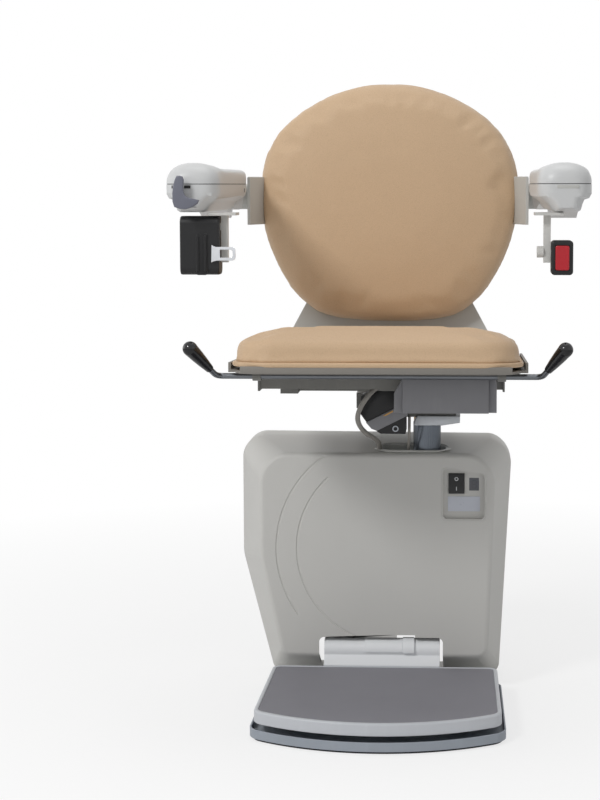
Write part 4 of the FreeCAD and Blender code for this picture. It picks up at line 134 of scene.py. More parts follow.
class StairliftSizes(PropertyGroup):
    edge: length_property("Edge", "Softened edge of a moulded piece", 1.0)
    fine_edge: length_property("Fine edge", "Softened edge of a small piece", 0.4)
    cushion_voxel: length_property("Cushion mesh", "Mesh size of a stuffed cushion", 5)
    cushion_swell: length_property("Cushion swell", "Most that a cushion swells", 5)
    mat_pitch: length_property("Mat ribs", "Between two ribs of the mat", 4.2)
    lens: FloatProperty(name="Lens", description="Camera lens", unit="CAMERA", default=81.81)
    sim_frames: IntProperty(name="Frames", description="Frames that a cushion swells for", default=20)


# Node groups shared by the finishes


def group_with(name, inputs, outputs):
    """An empty node group with named inputs (name, default) and outputs (name, kind)."""
    tree = bpy.data.node_groups.new(name, "ShaderNodeTree")
    for title, value in inputs:
        socket = tree.interface.new_socket(title, in_out="INPUT", socket_type="NodeSocketFloat")
        socket.default_value = value
    for title, kind in outputs:
        tree.interface.new_socket(title, in_out="OUTPUT", socket_type="NodeSocket" + kind)
    source = tree.nodes.new("NodeGroupInput")
    sink = tree.nodes.new("NodeGroupOutput")
    return tree, source, sink


def node(tree, kind, **settings):
    made = tree.nodes.new("ShaderNode" + kind)
    for name, value in settings.items():
        setattr(made, name, value)
    return made


def wire(tree, source, target):
    tree.links.new(source, target)


def feed(tree, value, socket):
    """Wires a socket to an input, or sets the input to plain numbers."""
    if isinstance(value, bpy.types.NodeSocket):
        wire(tree, value, socket)
    else:
        socket.default_value = value


def maths(tree, operation, *values):
    """A Math node fed by sockets or plain numbers."""
    made = node(tree, "Math", operation=operation)
    for socket, value in zip(made.inputs, values):
        feed(tree, value, socket)
    return made.outputs[0]


def noise(tree, vector, scale, detail=2.0, rough=0.5):
    made = node(tree, "TexNoise")
    wire(tree, vector, made.inputs["Vector"])
    feed(tree, scale, made.inputs["Scale"])
    made.inputs["Detail"].default_value = detail
    made.inputs["Roughness"].default_value = rough
    return made.outputs["Fac"]


def object_place(tree):
    return node(tree, "TexCoord").outputs["Object"]


def make_grain_group():
    """Fine moulded or sprayed grain, with slow clouds of tone."""
    tree, source, sink = group_with(
        "Moulded grain", [("Grain Scale", 900), ("Cloud Scale", 9)],
        [("Grain", "Float"), ("Cloud", "Float")],
    )
    place = object_place(tree)
    wire(tree, noise(tree, place, source.outputs["Grain Scale"], 3.0, 0.6), sink.inputs["Grain"])
    wire(tree, noise(tree, place, source.outputs["Cloud Scale"], 3.0, 0.6), sink.inputs["Cloud"])
    return tree


def make_scuff_group():
    """Thin scratches and rubbed patches of a handled surface."""
    tree, source, sink = group_with(
        "Scuffs", [("Scale", 40), ("Amount", 0.3)], [("Scuff", "Float")]
    )
    place = object_place(tree)
    stretch = node(tree, "Mapping")
    stretch.inputs["Scale"].default_value = (1.0, 0.12, 0.25)
    stretch.inputs["Rotation"].default_value = (0.5, 0.3, 0.9)
    wire(tree, place, stretch.inputs["Vector"])
    lines = noise(tree, stretch.outputs[0], source.outputs["Scale"], 5.0, 0.7)
    sharp = maths(tree, "POWER", lines, 5.0)
    patches = noise(tree, place, 6.0)
    both = maths(tree, "MULTIPLY", sharp, patches)
    strong = maths(tree, "MULTIPLY", both, 14.0)
    amount = maths(tree, "MULTIPLY", strong, source.outputs["Amount"])
    wire(tree, maths(tree, "MINIMUM", amount, 1.0), sink.inputs["Scuff"])
    return tree


def make_leather_group():
    """Pebbled vinyl grain: small cells with soft creases between them."""
    tree, source, sink = group_with(
        "Vinyl pebble", [("Scale", 520), ("Cloud Scale", 7)],
        [("Pebble", "Float"), ("Crease", "Float"), ("Cloud", "Float")],
    )
    place = object_place(tree)
    wobble = node(tree, "TexNoise")
    wobble.inputs["Scale"].default_value = 60
    wire(tree, place, wobble.inputs["Vector"])
    shift = node(tree, "VectorMath", operation="SCALE")
    wire(tree, wobble.outputs["Color"], shift.inputs[0])
    shift.inputs["Scale"].default_value = 0.004
    moved = node(tree, "VectorMath", operation="ADD")
    wire(tree, place, moved.inputs[0])
    wire(tree, shift.outputs[0], moved.inputs[1])
    cells = node(tree, "TexVoronoi", feature="DISTANCE_TO_EDGE")
    wire(tree, moved.outputs[0], cells.inputs["Vector"])
    wire(tree, source.outputs["Scale"], cells.inputs["Scale"])
    edge = node(tree, "MapRange")
    edge.inputs["From Max"].default_value = 0.16
    wire(tree, cells.outputs["Distance"], edge.inputs["Value"])
    fine = noise(tree, place, 1500.0)
    height = maths(tree, "ADD", edge.outputs[0], maths(tree, "MULTIPLY", fine, 0.35))
    wire(tree, height, sink.inputs["Pebble"])
    wire(tree, maths(tree, "SUBTRACT", 1.0, edge.outputs[0]), sink.inputs["Crease"])
    wire(tree, noise(tree, place, source.outputs["Cloud Scale"]), sink.inputs["Cloud"])
    return tree


def make_brushed_group():
    """Long fine lines that a drawn tube or brushed plate has."""
    tree, source, sink = group_with(
        "Drawn lines", [("Across", 900), ("Along", 14)], [("Lines", "Float"), ("Cloud", "Float")]
    )
    place = object_place(tree)
    parts = node(tree, "SeparateXYZ")
    wire(tree, place, parts.inputs[0])
    joined = node(tree, "CombineXYZ")
    for axis, name in enumerate(("Across", "Across", "Along")):
        scaled = maths(tree, "MULTIPLY", parts.outputs[axis], source.outputs[name])
        wire(tree, scaled, joined.inputs[axis])
    wire(tree, noise(tree, joined.outputs[0], 1.0, 3.0, 0.6), sink.inputs["Lines"])
    wire(tree, noise(tree, place, 25.0, 3.0, 0.6), sink.inputs["Cloud"])
    return tree


def make_ribs_group():
    """Straight ribs across the mat, rounded on top."""
    tree, source, sink = group_with(
        "Mat ribs", [("Pitch", 0.0042)], [("Rib", "Float"), ("Groove", "Float")]
    )
    parts = node(tree, "SeparateXYZ")
    wire(tree, object_place(tree), parts.inputs[0])
    turns = maths(tree, "DIVIDE", parts.outputs["Y"], source.outputs["Pitch"])
    angle = maths(tree, "MULTIPLY", turns, 2 * math.pi)
    swing = maths(tree, "SINE", angle)
    lifted = maths(tree, "MULTIPLY_ADD", swing, 0.5, 0.5)
    wire(tree, maths(tree, "POWER", lifted, 0.5), sink.inputs["Rib"])
    wire(tree, maths(tree, "LESS_THAN", lifted, 0.2), sink.inputs["Groove"])
    return tree


def make_weave_group():
    """Webbing: two sets of narrow diagonal ribs that cross."""
    tree, source, sink = group_with(
        "Belt weave", [("Scale", 0.0016)], [("Thread", "Float"), ("Shade", "Float")]
    )
    parts = node(tree, "SeparateXYZ")
    wire(tree, object_place(tree), parts.inputs[0])
    threads = []
    for sign in (1.0, -1.0):
        tilted = maths(tree, "MULTIPLY", parts.outputs["Z"], sign * 0.6)
        across = maths(tree, "ADD", parts.outputs["X"], tilted)
        turns = maths(tree, "DIVIDE", across, source.outputs["Scale"])
        swing = maths(tree, "SINE", maths(tree, "MULTIPLY", turns, math.pi))
        threads.append(maths(tree, "ABSOLUTE", swing))
    both = maths(tree, "MAXIMUM", threads[0], threads[1])
    wire(tree, both, sink.inputs["Thread"])
    wire(tree, maths(tree, "MULTIPLY", both, threads[0]), sink.inputs["Shade"])
    return tree


GROUPS = {}
FINISHES = {}
FORWARD = (0, -1, 0)


def placed(tree, name, **values):
    """A shared effect placed in a material with its own values."""
    made = node(tree, "Group")
    made.node_tree = GROUPS[name]
    made.name = name
    for title, value in values.items():
        made.inputs[title.replace("_", " ")].default_value = value
    return made


def blank_finish(name, rough, metallic=0.0):
    material = bpy.data.materials.new(name)
    material.use_nodes = True
    tree = material.node_tree
    shader = tree.nodes["Principled BSDF"]
    shader.inputs["Roughness"].default_value = rough
    shader.inputs["Metallic"].default_value = metallic
    FINISHES[name] = material
    return tree, shader


def tint(tree, factor, first, second):
    """Mixes two colours by a factor; each may be a socket or plain numbers."""
    mix = node(tree, "Mix", data_type="RGBA")
    wire(tree, factor, mix.inputs["Factor"])
    for socket, value in ((mix.inputs["A"], first), (mix.inputs["B"], second)):
        if isinstance(value, bpy.types.NodeSocket):
            wire(tree, value, socket)
        else:
            socket.default_value = (*value, 1)
    return mix.outputs["Result"]


def spread(tree, factor, low, high):
    """Maps a 0-1 value to a range."""
    made = node(tree, "MapRange")
    wire(tree, factor, made.inputs["Value"])
    made.inputs["To Min"].default_value = low
    made.inputs["To Max"].default_value = high
    return made.outputs[0]


def bump(tree, shader, height, depth, strength=1.0):
    made = node(tree, "Bump")
    made.inputs["Distance"].default_value = depth
    made.inputs["Strength"].default_value = strength
    wire(tree, height, made.inputs["Height"])
    wire(tree, made.outputs[0], shader.inputs["Normal"])


def darker(colour, share):
    return tuple(level * share for level in colour)


def moulded(name, colour, rough=0.45, tone=0.93, grain=900, depth=0.00006, cloud=9, scuff=0.0):
    """Moulded plastic or powder coat: fine grain, faint clouds of tone and light scuffs."""
    tree, shader = blank_finish(name, rough)
    effect = placed(tree, "Moulded grain", Grain_Scale=grain, Cloud_Scale=cloud)
    base = tint(tree, effect.outputs["Cloud"], darker(colour, tone), darker(colour, 2 - tone))
    if scuff:
        rubbed = placed(tree, "Scuffs", Scale=60, Amount=scuff)
        light = tuple(min(1, level * 1.25 + 0.02) for level in colour)
        base = tint(tree, rubbed.outputs["Scuff"], base, light)
    wire(tree, base, shader.inputs["Base Color"])
    polish = spread(tree, effect.outputs["Cloud"], rough - 0.07, rough + 0.07)
    wire(tree, polish, shader.inputs["Roughness"])
    bump(tree, shader, effect.outputs["Grain"], depth)


def metal(name, colour, rough=0.3, across=900, along=14, depth=0.00002):
    """Drawn, plated or cast metal with fine lines and cloudy polish."""
    tree, shader = blank_finish(name, rough, 1.0)
    effect = placed(tree, "Drawn lines", Across=across, Along=along)
    base = tint(tree, effect.outputs["Cloud"], darker(colour, 0.85), darker(colour, 1.12))
    wire(tree, base, shader.inputs["Base Color"])
    polish = spread(tree, effect.outputs["Lines"], rough - 0.08, rough + 0.12)
    wire(tree, polish, shader.inputs["Roughness"])
    bump(tree, shader, effect.outputs["Lines"], depth)


def make_vinyl(name, colour):
    tree, shader = blank_finish(name, 0.55)
    effect = placed(tree, "Vinyl pebble", Scale=520, Cloud_Scale=7)
    base = tint(tree, effect.outputs["Cloud"], darker(colour, 0.95), darker(colour, 1.04))
    # Painted shade: the colour darkens in the creases between the pebbles
    base = tint(tree, maths(tree, "MULTIPLY", effect.outputs["Crease"], 0.35), base, darker(colour, 0.72))
    wire(tree, base, shader.inputs["Base Color"])
    wire(tree, spread(tree, effect.outputs["Crease"], 0.5, 0.68), shader.inputs["Roughness"])
    shader.inputs["Sheen Weight"].default_value = 0.08
    bump(tree, shader, effect.outputs["Pebble"], 0.00022, 0.7)


def make_mat_finish(name, colour, pitch):
    tree, shader = blank_finish(name, 0.7)
    ribs = placed(tree, "Mat ribs", Pitch=pitch)
    grain = placed(tree, "Moulded grain", Grain_Scale=700, Cloud_Scale=12)
    base = tint(tree, grain.outputs["Cloud"], darker(colour, 0.92), darker(colour, 1.06))
    # Painted shade: the colour darkens in the grooves between the ribs
    base = tint(tree, maths(tree, "MULTIPLY", ribs.outputs["Groove"], 0.5), base, darker(colour, 0.6))
    wire(tree, base, shader.inputs["Base Color"])
    height = maths(tree, "ADD", ribs.outputs["Rib"], maths(tree, "MULTIPLY", grain.outputs["Grain"], 0.08))
    bump(tree, shader, height, 0.0007)


def make_belt_finish(name, colour):
    tree, shader = blank_finish(name, 0.75)
    weave = placed(tree, "Belt weave", Scale=0.0016)
    base = tint(tree, weave.outputs["Shade"], darker(colour, 0.55), darker(colour, 1.3))
    wire(tree, base, shader.inputs["Base Color"])
    shader.inputs["Sheen Weight"].default_value = 0.2
    bump(tree, shader, weave.outputs["Thread"], 0.0003)


def make_finishes(colours):
    """Every finish of the chair, each with its own grain, tone and polish."""
    GROUPS.update({
        "Moulded grain": make_grain_group(), "Scuffs": make_scuff_group(),
        "Vinyl pebble": make_leather_group(), "Drawn lines": make_brushed_group(),
        "Mat ribs": make_ribs_group(), "Belt weave": make_weave_group(),
    })
    # In order: roughness, tone of the clouds, grain scale, grain depth, cloud scale, scuffs
    moulded("cover plastic", colours.cover, 0.5, 0.975, 700, 0.00008, 5)
    moulded("arm plastic", colours.arm, 0.38, 0.98, 1100, 0.00003, 8)
    moulded("shell plastic", colours.shell, 0.46, 0.96, 900, 0.00005, 8)
    # The seat pan: the shell plastic made darker and warmer as painted shade under the cushion's front lip;
    # its scuffs are wear
    moulded("shaded pan front", paint(132, 128, 122), 0.5, 0.95, 700, 0.00006, 10, 0.15)
    moulded("bracket paint", colours.bracket, 0.4, 0.95, 500, 0.00005, 20, 0.25)
    moulded("tray plastic", colours.tray, 0.42, 0.97, 800, 0.00006, 8, 0.12)
    moulded("panel plastic", paint(244, 246, 248), 0.42, 0.98, 800, 0.00006, 8)
    moulded("pan plastic", colours.pan, 0.5, 0.95, 800, 0.00006, 10, 0.2)
    moulded("black rubber", colours.rubber, 0.72, 0.85, 500, 0.0001, 14)
    moulded("black plastic", colours.black, 0.4, 0.85, 900, 0.00007, 18, 0.15)
    moulded("grip plastic", colours.grip, 0.18, 0.85, 300, 0.00002, 20)
    moulded("frame paint", colours.dark_paint, 0.45, 0.9, 420, 0.0001, 14, 0.3)
    moulded("box paint", colours.box_paint, 0.42, 0.95, 420, 0.00008, 12, 0.2)
    moulded("chassis paint", colours.chassis_paint, 0.55, 0.88, 380, 0.0001, 12, 0.4)
    moulded("loom sleeve", colours.loom, 0.62, 0.9, 400, 0.0001, 60)
    moulded("toggle plastic", colours.paddle, 0.35, 0.95, 900, 0.00004, 20)
    moulded("nylon", colours.nylon, 0.4, 0.94, 700, 0.00005, 30, 0.3)
    moulded("board lacquer", colours.board, 0.3, 0.85, 300, 0.0001, 40)
    moulded("button plastic", colours.red, 0.25, 0.92, 600, 0.00002, 30)
    moulded("bare plate", colours.plate, 0.3, 0.98, 600, 0.00001, 30)
    moulded("display window", paint(96, 98, 104), 0.15, 0.9, 300, 0.00001, 40)
    moulded("print white", paint(222, 224, 226), 0.4, 0.95, 600, 0.00001, 40)
    moulded("print dark", paint(66, 68, 74), 0.4, 0.95, 600, 0.00001, 40)
    # In order: roughness, lines across, lines along, depth
    metal("zinc steel", colours.steel, 0.32)
    metal("bar steel", darker(colours.steel, 0.5), 0.3)
    metal("column steel", colours.tube, 0.24, 1400, 6, 0.00002)
    metal("gear steel", darker(colours.steel, 0.55), 0.38)
    metal("cast aluminium", paint(186, 189, 193), 0.45, 260, 260, 0.00012)
    metal("bronze", colours.bronze, 0.35)
    metal("tongue chrome", paint(226, 228, 232), 0.12, 700, 200, 0.000005)
    make_vinyl("upholstery vinyl", colours.vinyl)
    make_mat_finish("mat rubber", colours.mat, bpy.context.scene.stairlift_sizes.mat_pitch)
    make_belt_finish("belt webbing", colours.black)


# Shaping helpers


def coat(piece, finish):
    """Puts a finish in every material slot of a piece."""
    if not piece.data.materials:
        piece.data.materials.append(None)
    for index in range(len(piece.data.materials)):
        piece.data.materials[index] = FINISHES[finish]


def dress(piece, finish, body, replaces=()):
    """Gives a piece its finish, its body and the nodes that it stands for."""
    coat(piece, finish)
    if replaces:
        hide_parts(*replaces)
    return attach(piece, body)


def piece_from(form, name, sharp=32):
    """A finished mesh object from a bmesh, smooth but for its sharp edges."""
    mesh = bpy.data.meshes.new(name)
    form.to_mesh(mesh)
    form.free()
    piece = bpy.data.objects.new(name, mesh)
    bpy.context.scene.collection.objects.link(piece)
    mesh.shade_smooth()
    mesh.set_sharp_from_angle(angle=math.radians(sharp))
    return piece


def cad_form(name):
    """A merged copy of a CAD node's triangles, with its flat faces whole."""
    form = bmesh.new()
    form.from_mesh(FRAME["nodes"][name].data)
    bmesh.ops.remove_doubles(form, verts=form.verts, dist=1e-6)
    bmesh.ops.dissolve_limit(form, angle_limit=math.radians(0.6), verts=form.verts, edges=form.edges,
                             use_dissolve_boundaries=False)
    return form


def add_edge(piece, width, segments=2, angle=35):
    """Live bevel of the piece's sharp edges, with normals that keep its flats flat."""
    bevel = piece.modifiers.new("Soft edge", "BEVEL")
    bevel.width = width
    bevel.segments = segments
    bevel.limit_method = "ANGLE"
    bevel.angle_limit = math.radians(angle)
    bevel.use_clamp_overlap = True
    bevel.harden_normals = False
    normals = piece.modifiers.new("Flat normals", "WEIGHTED_NORMAL")
    normals.keep_sharp = True
    return piece


def stand_in(piece, finish, name):
    """Dresses a piece that stands for a CAD node, puts it on that node's body and hides the node."""
    return dress(piece, finish, BODY_OF[name], (name,))


def softened(name, finish, width, segments=2, offset=(0, 0, 0)):
    """A CAD node's own form with softened edges, in its finish, moved by an offset."""
    form = cad_form(name)
    bmesh.ops.translate(form, verts=form.verts, vec=Vector(offset))
    piece = piece_from(form, name + "_skin", 50)
    return stand_in(add_edge(piece, width, segments), finish, name)


def kept(name, centre, normal):
    """A copy of a CAD node's form that keeps what lies ahead of a plane."""
    form = cad_form(name)
    bmesh.ops.bisect_plane(form, geom=form.verts[:] + form.edges[:] + form.faces[:],
                           plane_co=Vector(centre), plane_no=Vector(normal), clear_inner=True)
    return form


def outline_plate(form, points, front, back, edge=0.0):
    """Adds a form of an (X, Z) outline in millimetres between two places along Y, in metres."""
    points = [(x / 1000, z / 1000) for x, z in points]
    add_plate(form, points, facing((0, back, 0), FORWARD), back - front, edge)


def plate_piece(name, finish, stands_for, edge, *plates):
    """One piece of flat plates (outline, front, back) that stands for a CAD node."""
    form = bmesh.new()
    for outline, front, back in plates:
        outline_plate(form, outline, front, back, edge)
    return stand_in(piece_from(form, name), finish, stands_for)


def plain(name, finish):
    """A CAD node that keeps its mesh and gets its finish."""
    coat(FRAME["nodes"][name], finish)


def facing(centre, normal, up=(0, 0, 1)):
    """A matrix whose Z is the normal and whose Y is near up, at a centre."""
    z = Vector(normal).normalized()
    x = Vector(up).cross(z).normalized()
    y = z.cross(x)
    turn = Matrix((x, y, z)).transposed().to_4x4()
    return Matrix.Translation(Vector(centre)) @ turn


def rounded_rectangle(width, height, radius, steps=5):
    """Corner points of a flat rounded rectangle about its own centre."""
    points = []
    for quarter, (sx, sy) in enumerate(((1, 1), (-1, 1), (-1, -1), (1, -1))):
        cx, cy = sx * (width / 2 - radius), sy * (height / 2 - radius)
        for step in range(steps + 1):
            angle = math.radians(90 * quarter + 90 * step / steps)
            points.append((cx + radius * math.cos(angle), cy + radius * math.sin(angle)))
    return points


def add_plate(form, points, matrix, thickness, edge=0.0, segments=2):
    """Adds a plate of an outline in the matrix's XY plane, raised along its Z, with a softened rim."""
    face = form.faces.new([form.verts.new(matrix @ Vector((x, y, 0))) for x, y in points])
    raised = bmesh.ops.extrude_face_region(form, geom=[face])
    verts = [item for item in raised["geom"] if isinstance(item, bmesh.types.BMVert)]
    bmesh.ops.translate(form, verts=verts, vec=matrix.to_3x3() @ Vector((0, 0, thickness)))
    top = [item for item in raised["geom"] if isinstance(item, bmesh.types.BMFace)][0]
    if edge:
        bmesh.ops.bevel(form, geom=list(top.edges), offset=edge, segments=segments, affect="EDGES",
                        profile=0.5, material=-1, offset_type="OFFSET")
    bmesh.ops.recalc_face_normals(form, faces=form.faces)


def add_lathe(form, profile, matrix, steps=32):
    """Adds a form spun about the matrix's Z from (radius, height) points."""
    verts = [form.verts.new(matrix @ Vector((radius, 0, height))) for radius, height in profile]
    edges = [form.edges.new(pair) for pair in zip(verts, verts[1:])]
    axis = matrix.to_3x3() @ Vector((0, 0, 1))
    bmesh.ops.spin(form, geom=verts + edges, cent=matrix.translation, axis=axis, angle=2 * math.pi,
                   steps=steps, use_merge=True, use_duplicate=False)
    bmesh.ops.remove_doubles(form, verts=form.verts, dist=1e-6)
    bmesh.ops.recalc_face_normals(form, faces=form.faces)


def add_tile(form, size, radius, centre, thickness, edge=0.0, steps=5, normal=FORWARD):
    """Adds a rounded rectangle of (width, height) that faces along a normal at a centre."""
    outline = rounded_rectangle(*size, radius, steps)
    add_plate(form, outline, facing(centre, normal), thickness, edge)


def add_washer(form, inner, outer, matrix, thickness):
    """Adds a flat ring about the matrix's Z."""
    section = [(inner, 0), (outer, 0), (outer, thickness), (inner, thickness), (inner, 0)]
    add_lathe(form, section, matrix, 24)


def skin_rings(form, rings):
    """Joins rings of points into one closed form with flat ends."""
    rings = [[form.verts.new(point) for point in ring] for ring in rings]
    for first, last in zip(rings, rings[1:]):
        for index in range(len(first)):
            after = (index + 1) % len(first)
            form.faces.new((first[index], first[after], last[after], last[index]))
    form.faces.new(rings[0])
    form.faces.new(rings[-1])
    bmesh.ops.recalc_face_normals(form, faces=form.faces)


def spline_mesh(points, radius=0.0):
    """The mesh of a smooth spline along a route: a bare line, or a round tube of a radius."""
    curve = bpy.data.curves.new("route", "CURVE")
    curve.dimensions = "3D"
    curve.bevel_depth = radius
    curve.bevel_resolution = 3
    curve.use_fill_caps = True
    spline = curve.splines.new("NURBS")
    spline.points.add(len(points) - 1)
    for item, point in zip(spline.points, points):
        item.co = (*point, 1)
    spline.order_u = 3
    spline.use_endpoint_u = True
    spline.resolution_u = 8
    holder = bpy.data.objects.new("route", curve)
    bpy.context.scene.collection.objects.link(holder)
    graph = bpy.context.evaluated_depsgraph_get()
    mesh = bpy.data.meshes.new_from_object(holder.evaluated_get(graph))
    bpy.data.objects.remove(holder)
    bpy.data.curves.remove(curve)
    return mesh


def tube_along(name, points, radius):
    """A round tube on a smooth spline along a route."""
    mesh = spline_mesh(points, radius)
    form = bmesh.new()
    form.from_mesh(mesh)
    bpy.data.meshes.remove(mesh)
    bmesh.ops.remove_doubles(form, verts=form.verts, dist=1e-7)
    bmesh.ops.recalc_face_normals(form, faces=form.faces)
    return piece_from(form, name, 60)


def centre_line(points):
    """The points that the spline on a route runs through."""
    mesh = spline_mesh(points)
    line = [vertex.co.copy() for vertex in mesh.vertices]
    bpy.data.meshes.remove(mesh)
    return line


# Upholstery


def stuffed(source, name, pinned, fitted, inset):
    """A copy of a cushion's CAD form that is remeshed, fitted, swollen as cloth and capped."""
    sizes = bpy.context.scene.stairlift_sizes
    form = bmesh.new()
    form.from_mesh(FRAME["nodes"][source].data)
    bmesh.ops.remove_doubles(form, verts=form.verts, dist=1e-6)
    piece = piece_from(form, name, 180)
    remesh = piece.modifiers.new("Even mesh", "REMESH")
    remesh.mode = "VOXEL"
    remesh.voxel_size = sizes.cushion_voxel
    remesh.use_smooth_shade = True
    smooth = piece.modifiers.new("Even form", "SMOOTH")
    smooth.iterations = 6
    apply_modifiers(piece)
    for vertex in piece.data.vertices:
        vertex.co = fitted(vertex.co) - vertex.normal * inset
    piece.data.update()
    swell(piece, sizes, pinned)
    even = piece.modifiers.new("Even skin", "SMOOTH")
    even.iterations = 4
    apply_modifiers(piece)
    finer = piece.modifiers.new("Fine skin", "SUBSURF")
    finer.levels = finer.render_levels = 1
    return piece


def apply_modifiers(piece):
    graph = bpy.context.evaluated_depsgraph_get()
    mesh = bpy.data.meshes.new_from_object(piece.evaluated_get(graph))
    mesh.name = piece.name
    piece.modifiers.clear()
    piece.data = mesh
    mesh.shade_smooth()


def swell(piece, sizes, pinned):
    """Steps Cloth with pressure, caps each point's move, and leaves no Cloth on the piece."""
    scene = bpy.context.scene
    rest = [vertex.co.copy() for vertex in piece.data.vertices]
    held = piece.vertex_groups.new(name="held")
    for vertex in piece.data.vertices:
        held.add([vertex.index], 1.0 if pinned(vertex.normal) else 0.0, "REPLACE")
    cloth = piece.modifiers.new("Cloth", "CLOTH")
    cloth.settings.vertex_group_mass = "held"
    cloth.settings.use_pressure = True
    cloth.settings.uniform_pressure_force = 4.0
    cloth.settings.quality = 5
    cloth.settings.tension_stiffness = 40
    cloth.settings.effector_weights.gravity = 0.0
    cloth.point_cache.frame_start = 1
    cloth.point_cache.frame_end = sizes.sim_frames
    for frame in range(1, sizes.sim_frames + 1):
        scene.frame_set(frame)
    graph = bpy.context.evaluated_depsgraph_get()
    moved = [vertex.co.copy() for vertex in piece.evaluated_get(graph).data.vertices]
    piece.modifiers.remove(cloth)
    piece.vertex_groups.clear()
    scene.frame_set(1)
    for vertex, start, end in zip(piece.data.vertices, rest, moved):
        step = end - start
        if step.length > sizes.cushion_swell:
            step.length = sizes.cushion_swell
        vertex.co = start + step


# Rows of a height in metres and the share of its width that the back cushion keeps there
BACK_WIDTHS = ((0.353, 1.43), (0.365, 1.32), (0.378, 1.15), (0.391, 1.085), (0.404, 1.048), (0.416, 1.02),
               (0.43, 1.003), (0.442, 0.997), (0.468, 0.984), (0.51, 0.979), (0.6, 0.982), (0.635, 0.984),
               (0.66, 0.987), (0.7, 0.982), (0.725, 0.985), (0.738, 1.09))


def ramp(value, rows):
    """Reads a value off rows of (place, amount) that rise."""
    if value <= rows[0][0]:
        return rows[0][1]
    for (low, first), (high, last) in zip(rows, rows[1:]):
        if value <= high:
            return first + (last - first) * (value - low) / (high - low)
    return rows[-1][1]


# How far the seat cushion's top falls toward the back, and where up its side the fall starts
SEAT_FALL = 0.014
FALL_START = 0.3
# How far the seat board is lifted to meet the cushion
BOARD_LIFT = 0.0055
# Outline across and up, in millimetres, of a strip on the pan's front face in the same painted shade
SHADED_PAN_STRIP = ((-186, 317), (186, 317), (186, 327), (-186, 327))


class STAIRLIFT_OT_seat_cushion(Operator):
    """Swells the seat cushion and softens the board and the pan under it"""

    bl_idname = "stairlift.seat_cushion"
    bl_label = "Seat Cushion"

    def execute(self, context):
        sizes = context.scene.stairlift_sizes
        low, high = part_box("seat_cushion")
        middle = (low.z + high.z) / 2

        def pinned(normal):
            return normal.z < -0.5

        def fitted(point):
            """Lets the top fall toward the back."""
            share = (point.y - low.y) / (high.y - low.y)
            upward = (point.z - low.z) / (middle - low.z)
            fall = SEAT_FALL * share * min(1, max(0, upward - FALL_START))
            return point - Vector((0, 0, fall))

        cushion = stuffed("seat_cushion", "seat_cushion_cover", pinned, fitted, 0.0033)
        dress(cushion, "upholstery vinyl", "seat", ("seat_cushion",))
        softened("seat_board", "upholstery vinyl", 0.0028, 4, (0, 0, BOARD_LIFT))
        # The pan and the strip on its front take the painted shade of the cushion's lip
        softened("seat_pan", "shaded pan front", sizes.edge)
        form = bmesh.new()
        outline_plate(form, SHADED_PAN_STRIP, -0.4462, -0.4435, 0.0005)
        dress(piece_from(form, "shaded_pan_strip"), "shaded pan front", "seat")
        return {"FINISHED"}


# Plan of the left or right panel between arm and back, outward and along Y, in millimetres
HUB_PLAN = ((219.4, -66), (219.4, 30), (190, 30), (190, -4), (203, -28), (212, -58), (215, -66))
HUB_FOOT = 0.512
HUB_HEIGHT = 0.075
# The axle through a hub: radius and distance from the middle
HUB_AXLE = ((0, 0.218), (0.02, 0.218), (0.02, 0.286), (0, 0.286))
AXLE_PLACE = (0, -0.025, 0.556)


class STAIRLIFT_OT_back_cushion(Operator):
    """Swells the back cushion, softens the shell and upright behind it and adds the hub covers"""

    bl_idname = "stairlift.back_cushion"
    bl_label = "Back Cushion"

    def execute(self, context):
        sizes = context.scene.stairlift_sizes

        def pinned(normal):
            return normal.y > 0.6

        def fitted(point):
            """Squares the foot and narrows the middle."""
            return Vector((point.x * ramp(point.z, BACK_WIDTHS), point.y, point.z))

        cushion = stuffed("back_cushion", "back_cushion_cover", pinned, fitted, 0.0008)
        dress(cushion, "upholstery vinyl", "swivel", ("back_cushion",))
        softened("back_shell", "shell plastic", sizes.edge)
        for sign, side in ((-1, "left"), (1, "right")):
            form = bmesh.new()
            plan = [(sign * x / 1000, y / 1000) for x, y in HUB_PLAN]
            add_plate(form, plan, Matrix.Translation((0, 0, HUB_FOOT)), HUB_HEIGHT, 0.002)
            sideways = Matrix.Rotation(sign * math.pi / 2, 4, "Y")
            add_lathe(form, HUB_AXLE, Matrix.Translation(AXLE_PLACE) @ sideways)
            stand_in(piece_from(form, side + "_hub_cover"), "shell plastic", "arm_hubs")
        softened("back_upright", "frame paint", sizes.edge)
        return {"FINISHED"}


# The cover's right shoulder falls from SHOULDER_START to its edge, most above SHOULDER_FOOT
SHOULDER_START = 0.125
SHOULDER_WIDTH = 0.069
SHOULDER_DROP = 0.009
SHOULDER_FOOT = 0.09
SHOULDER_RISE = 0.07
# The trim round the column keeps this share of its height above the cover's opening
TRIM_FOOT = 0.163
TRIM_SHARE = 0.4
RECESS_PLATE_PLACE = (0.1205, -0.1571, 0.0885)
# The rocker's face leans back above and below its middle
ROCKER_LEAN = math.radians(8.5)
ROCKER_MIDDLE = 0.11975
ROCKER_FRONT = -0.15895
DISPLAY_PLACE = Vector((0.136, -0.15712, 0.11885))
# The digit's strokes: (width, height) and their places across and up
LEVEL_STROKE = (0.005, 0.0011)
UPRIGHT_STROKE = (0.0011, 0.0044)
DIGIT = ((LEVEL_STROKE, 0, 0.0056), (LEVEL_STROKE, 0, 0), (LEVEL_STROKE, 0, -0.0056),
         (UPRIGHT_STROKE, -0.0032, 0.0028), (UPRIGHT_STROKE, 0.0032, 0.0028),
         (UPRIGHT_STROKE, -0.0032, -0.0028), (UPRIGHT_STROKE, 0.0032, -0.0028))


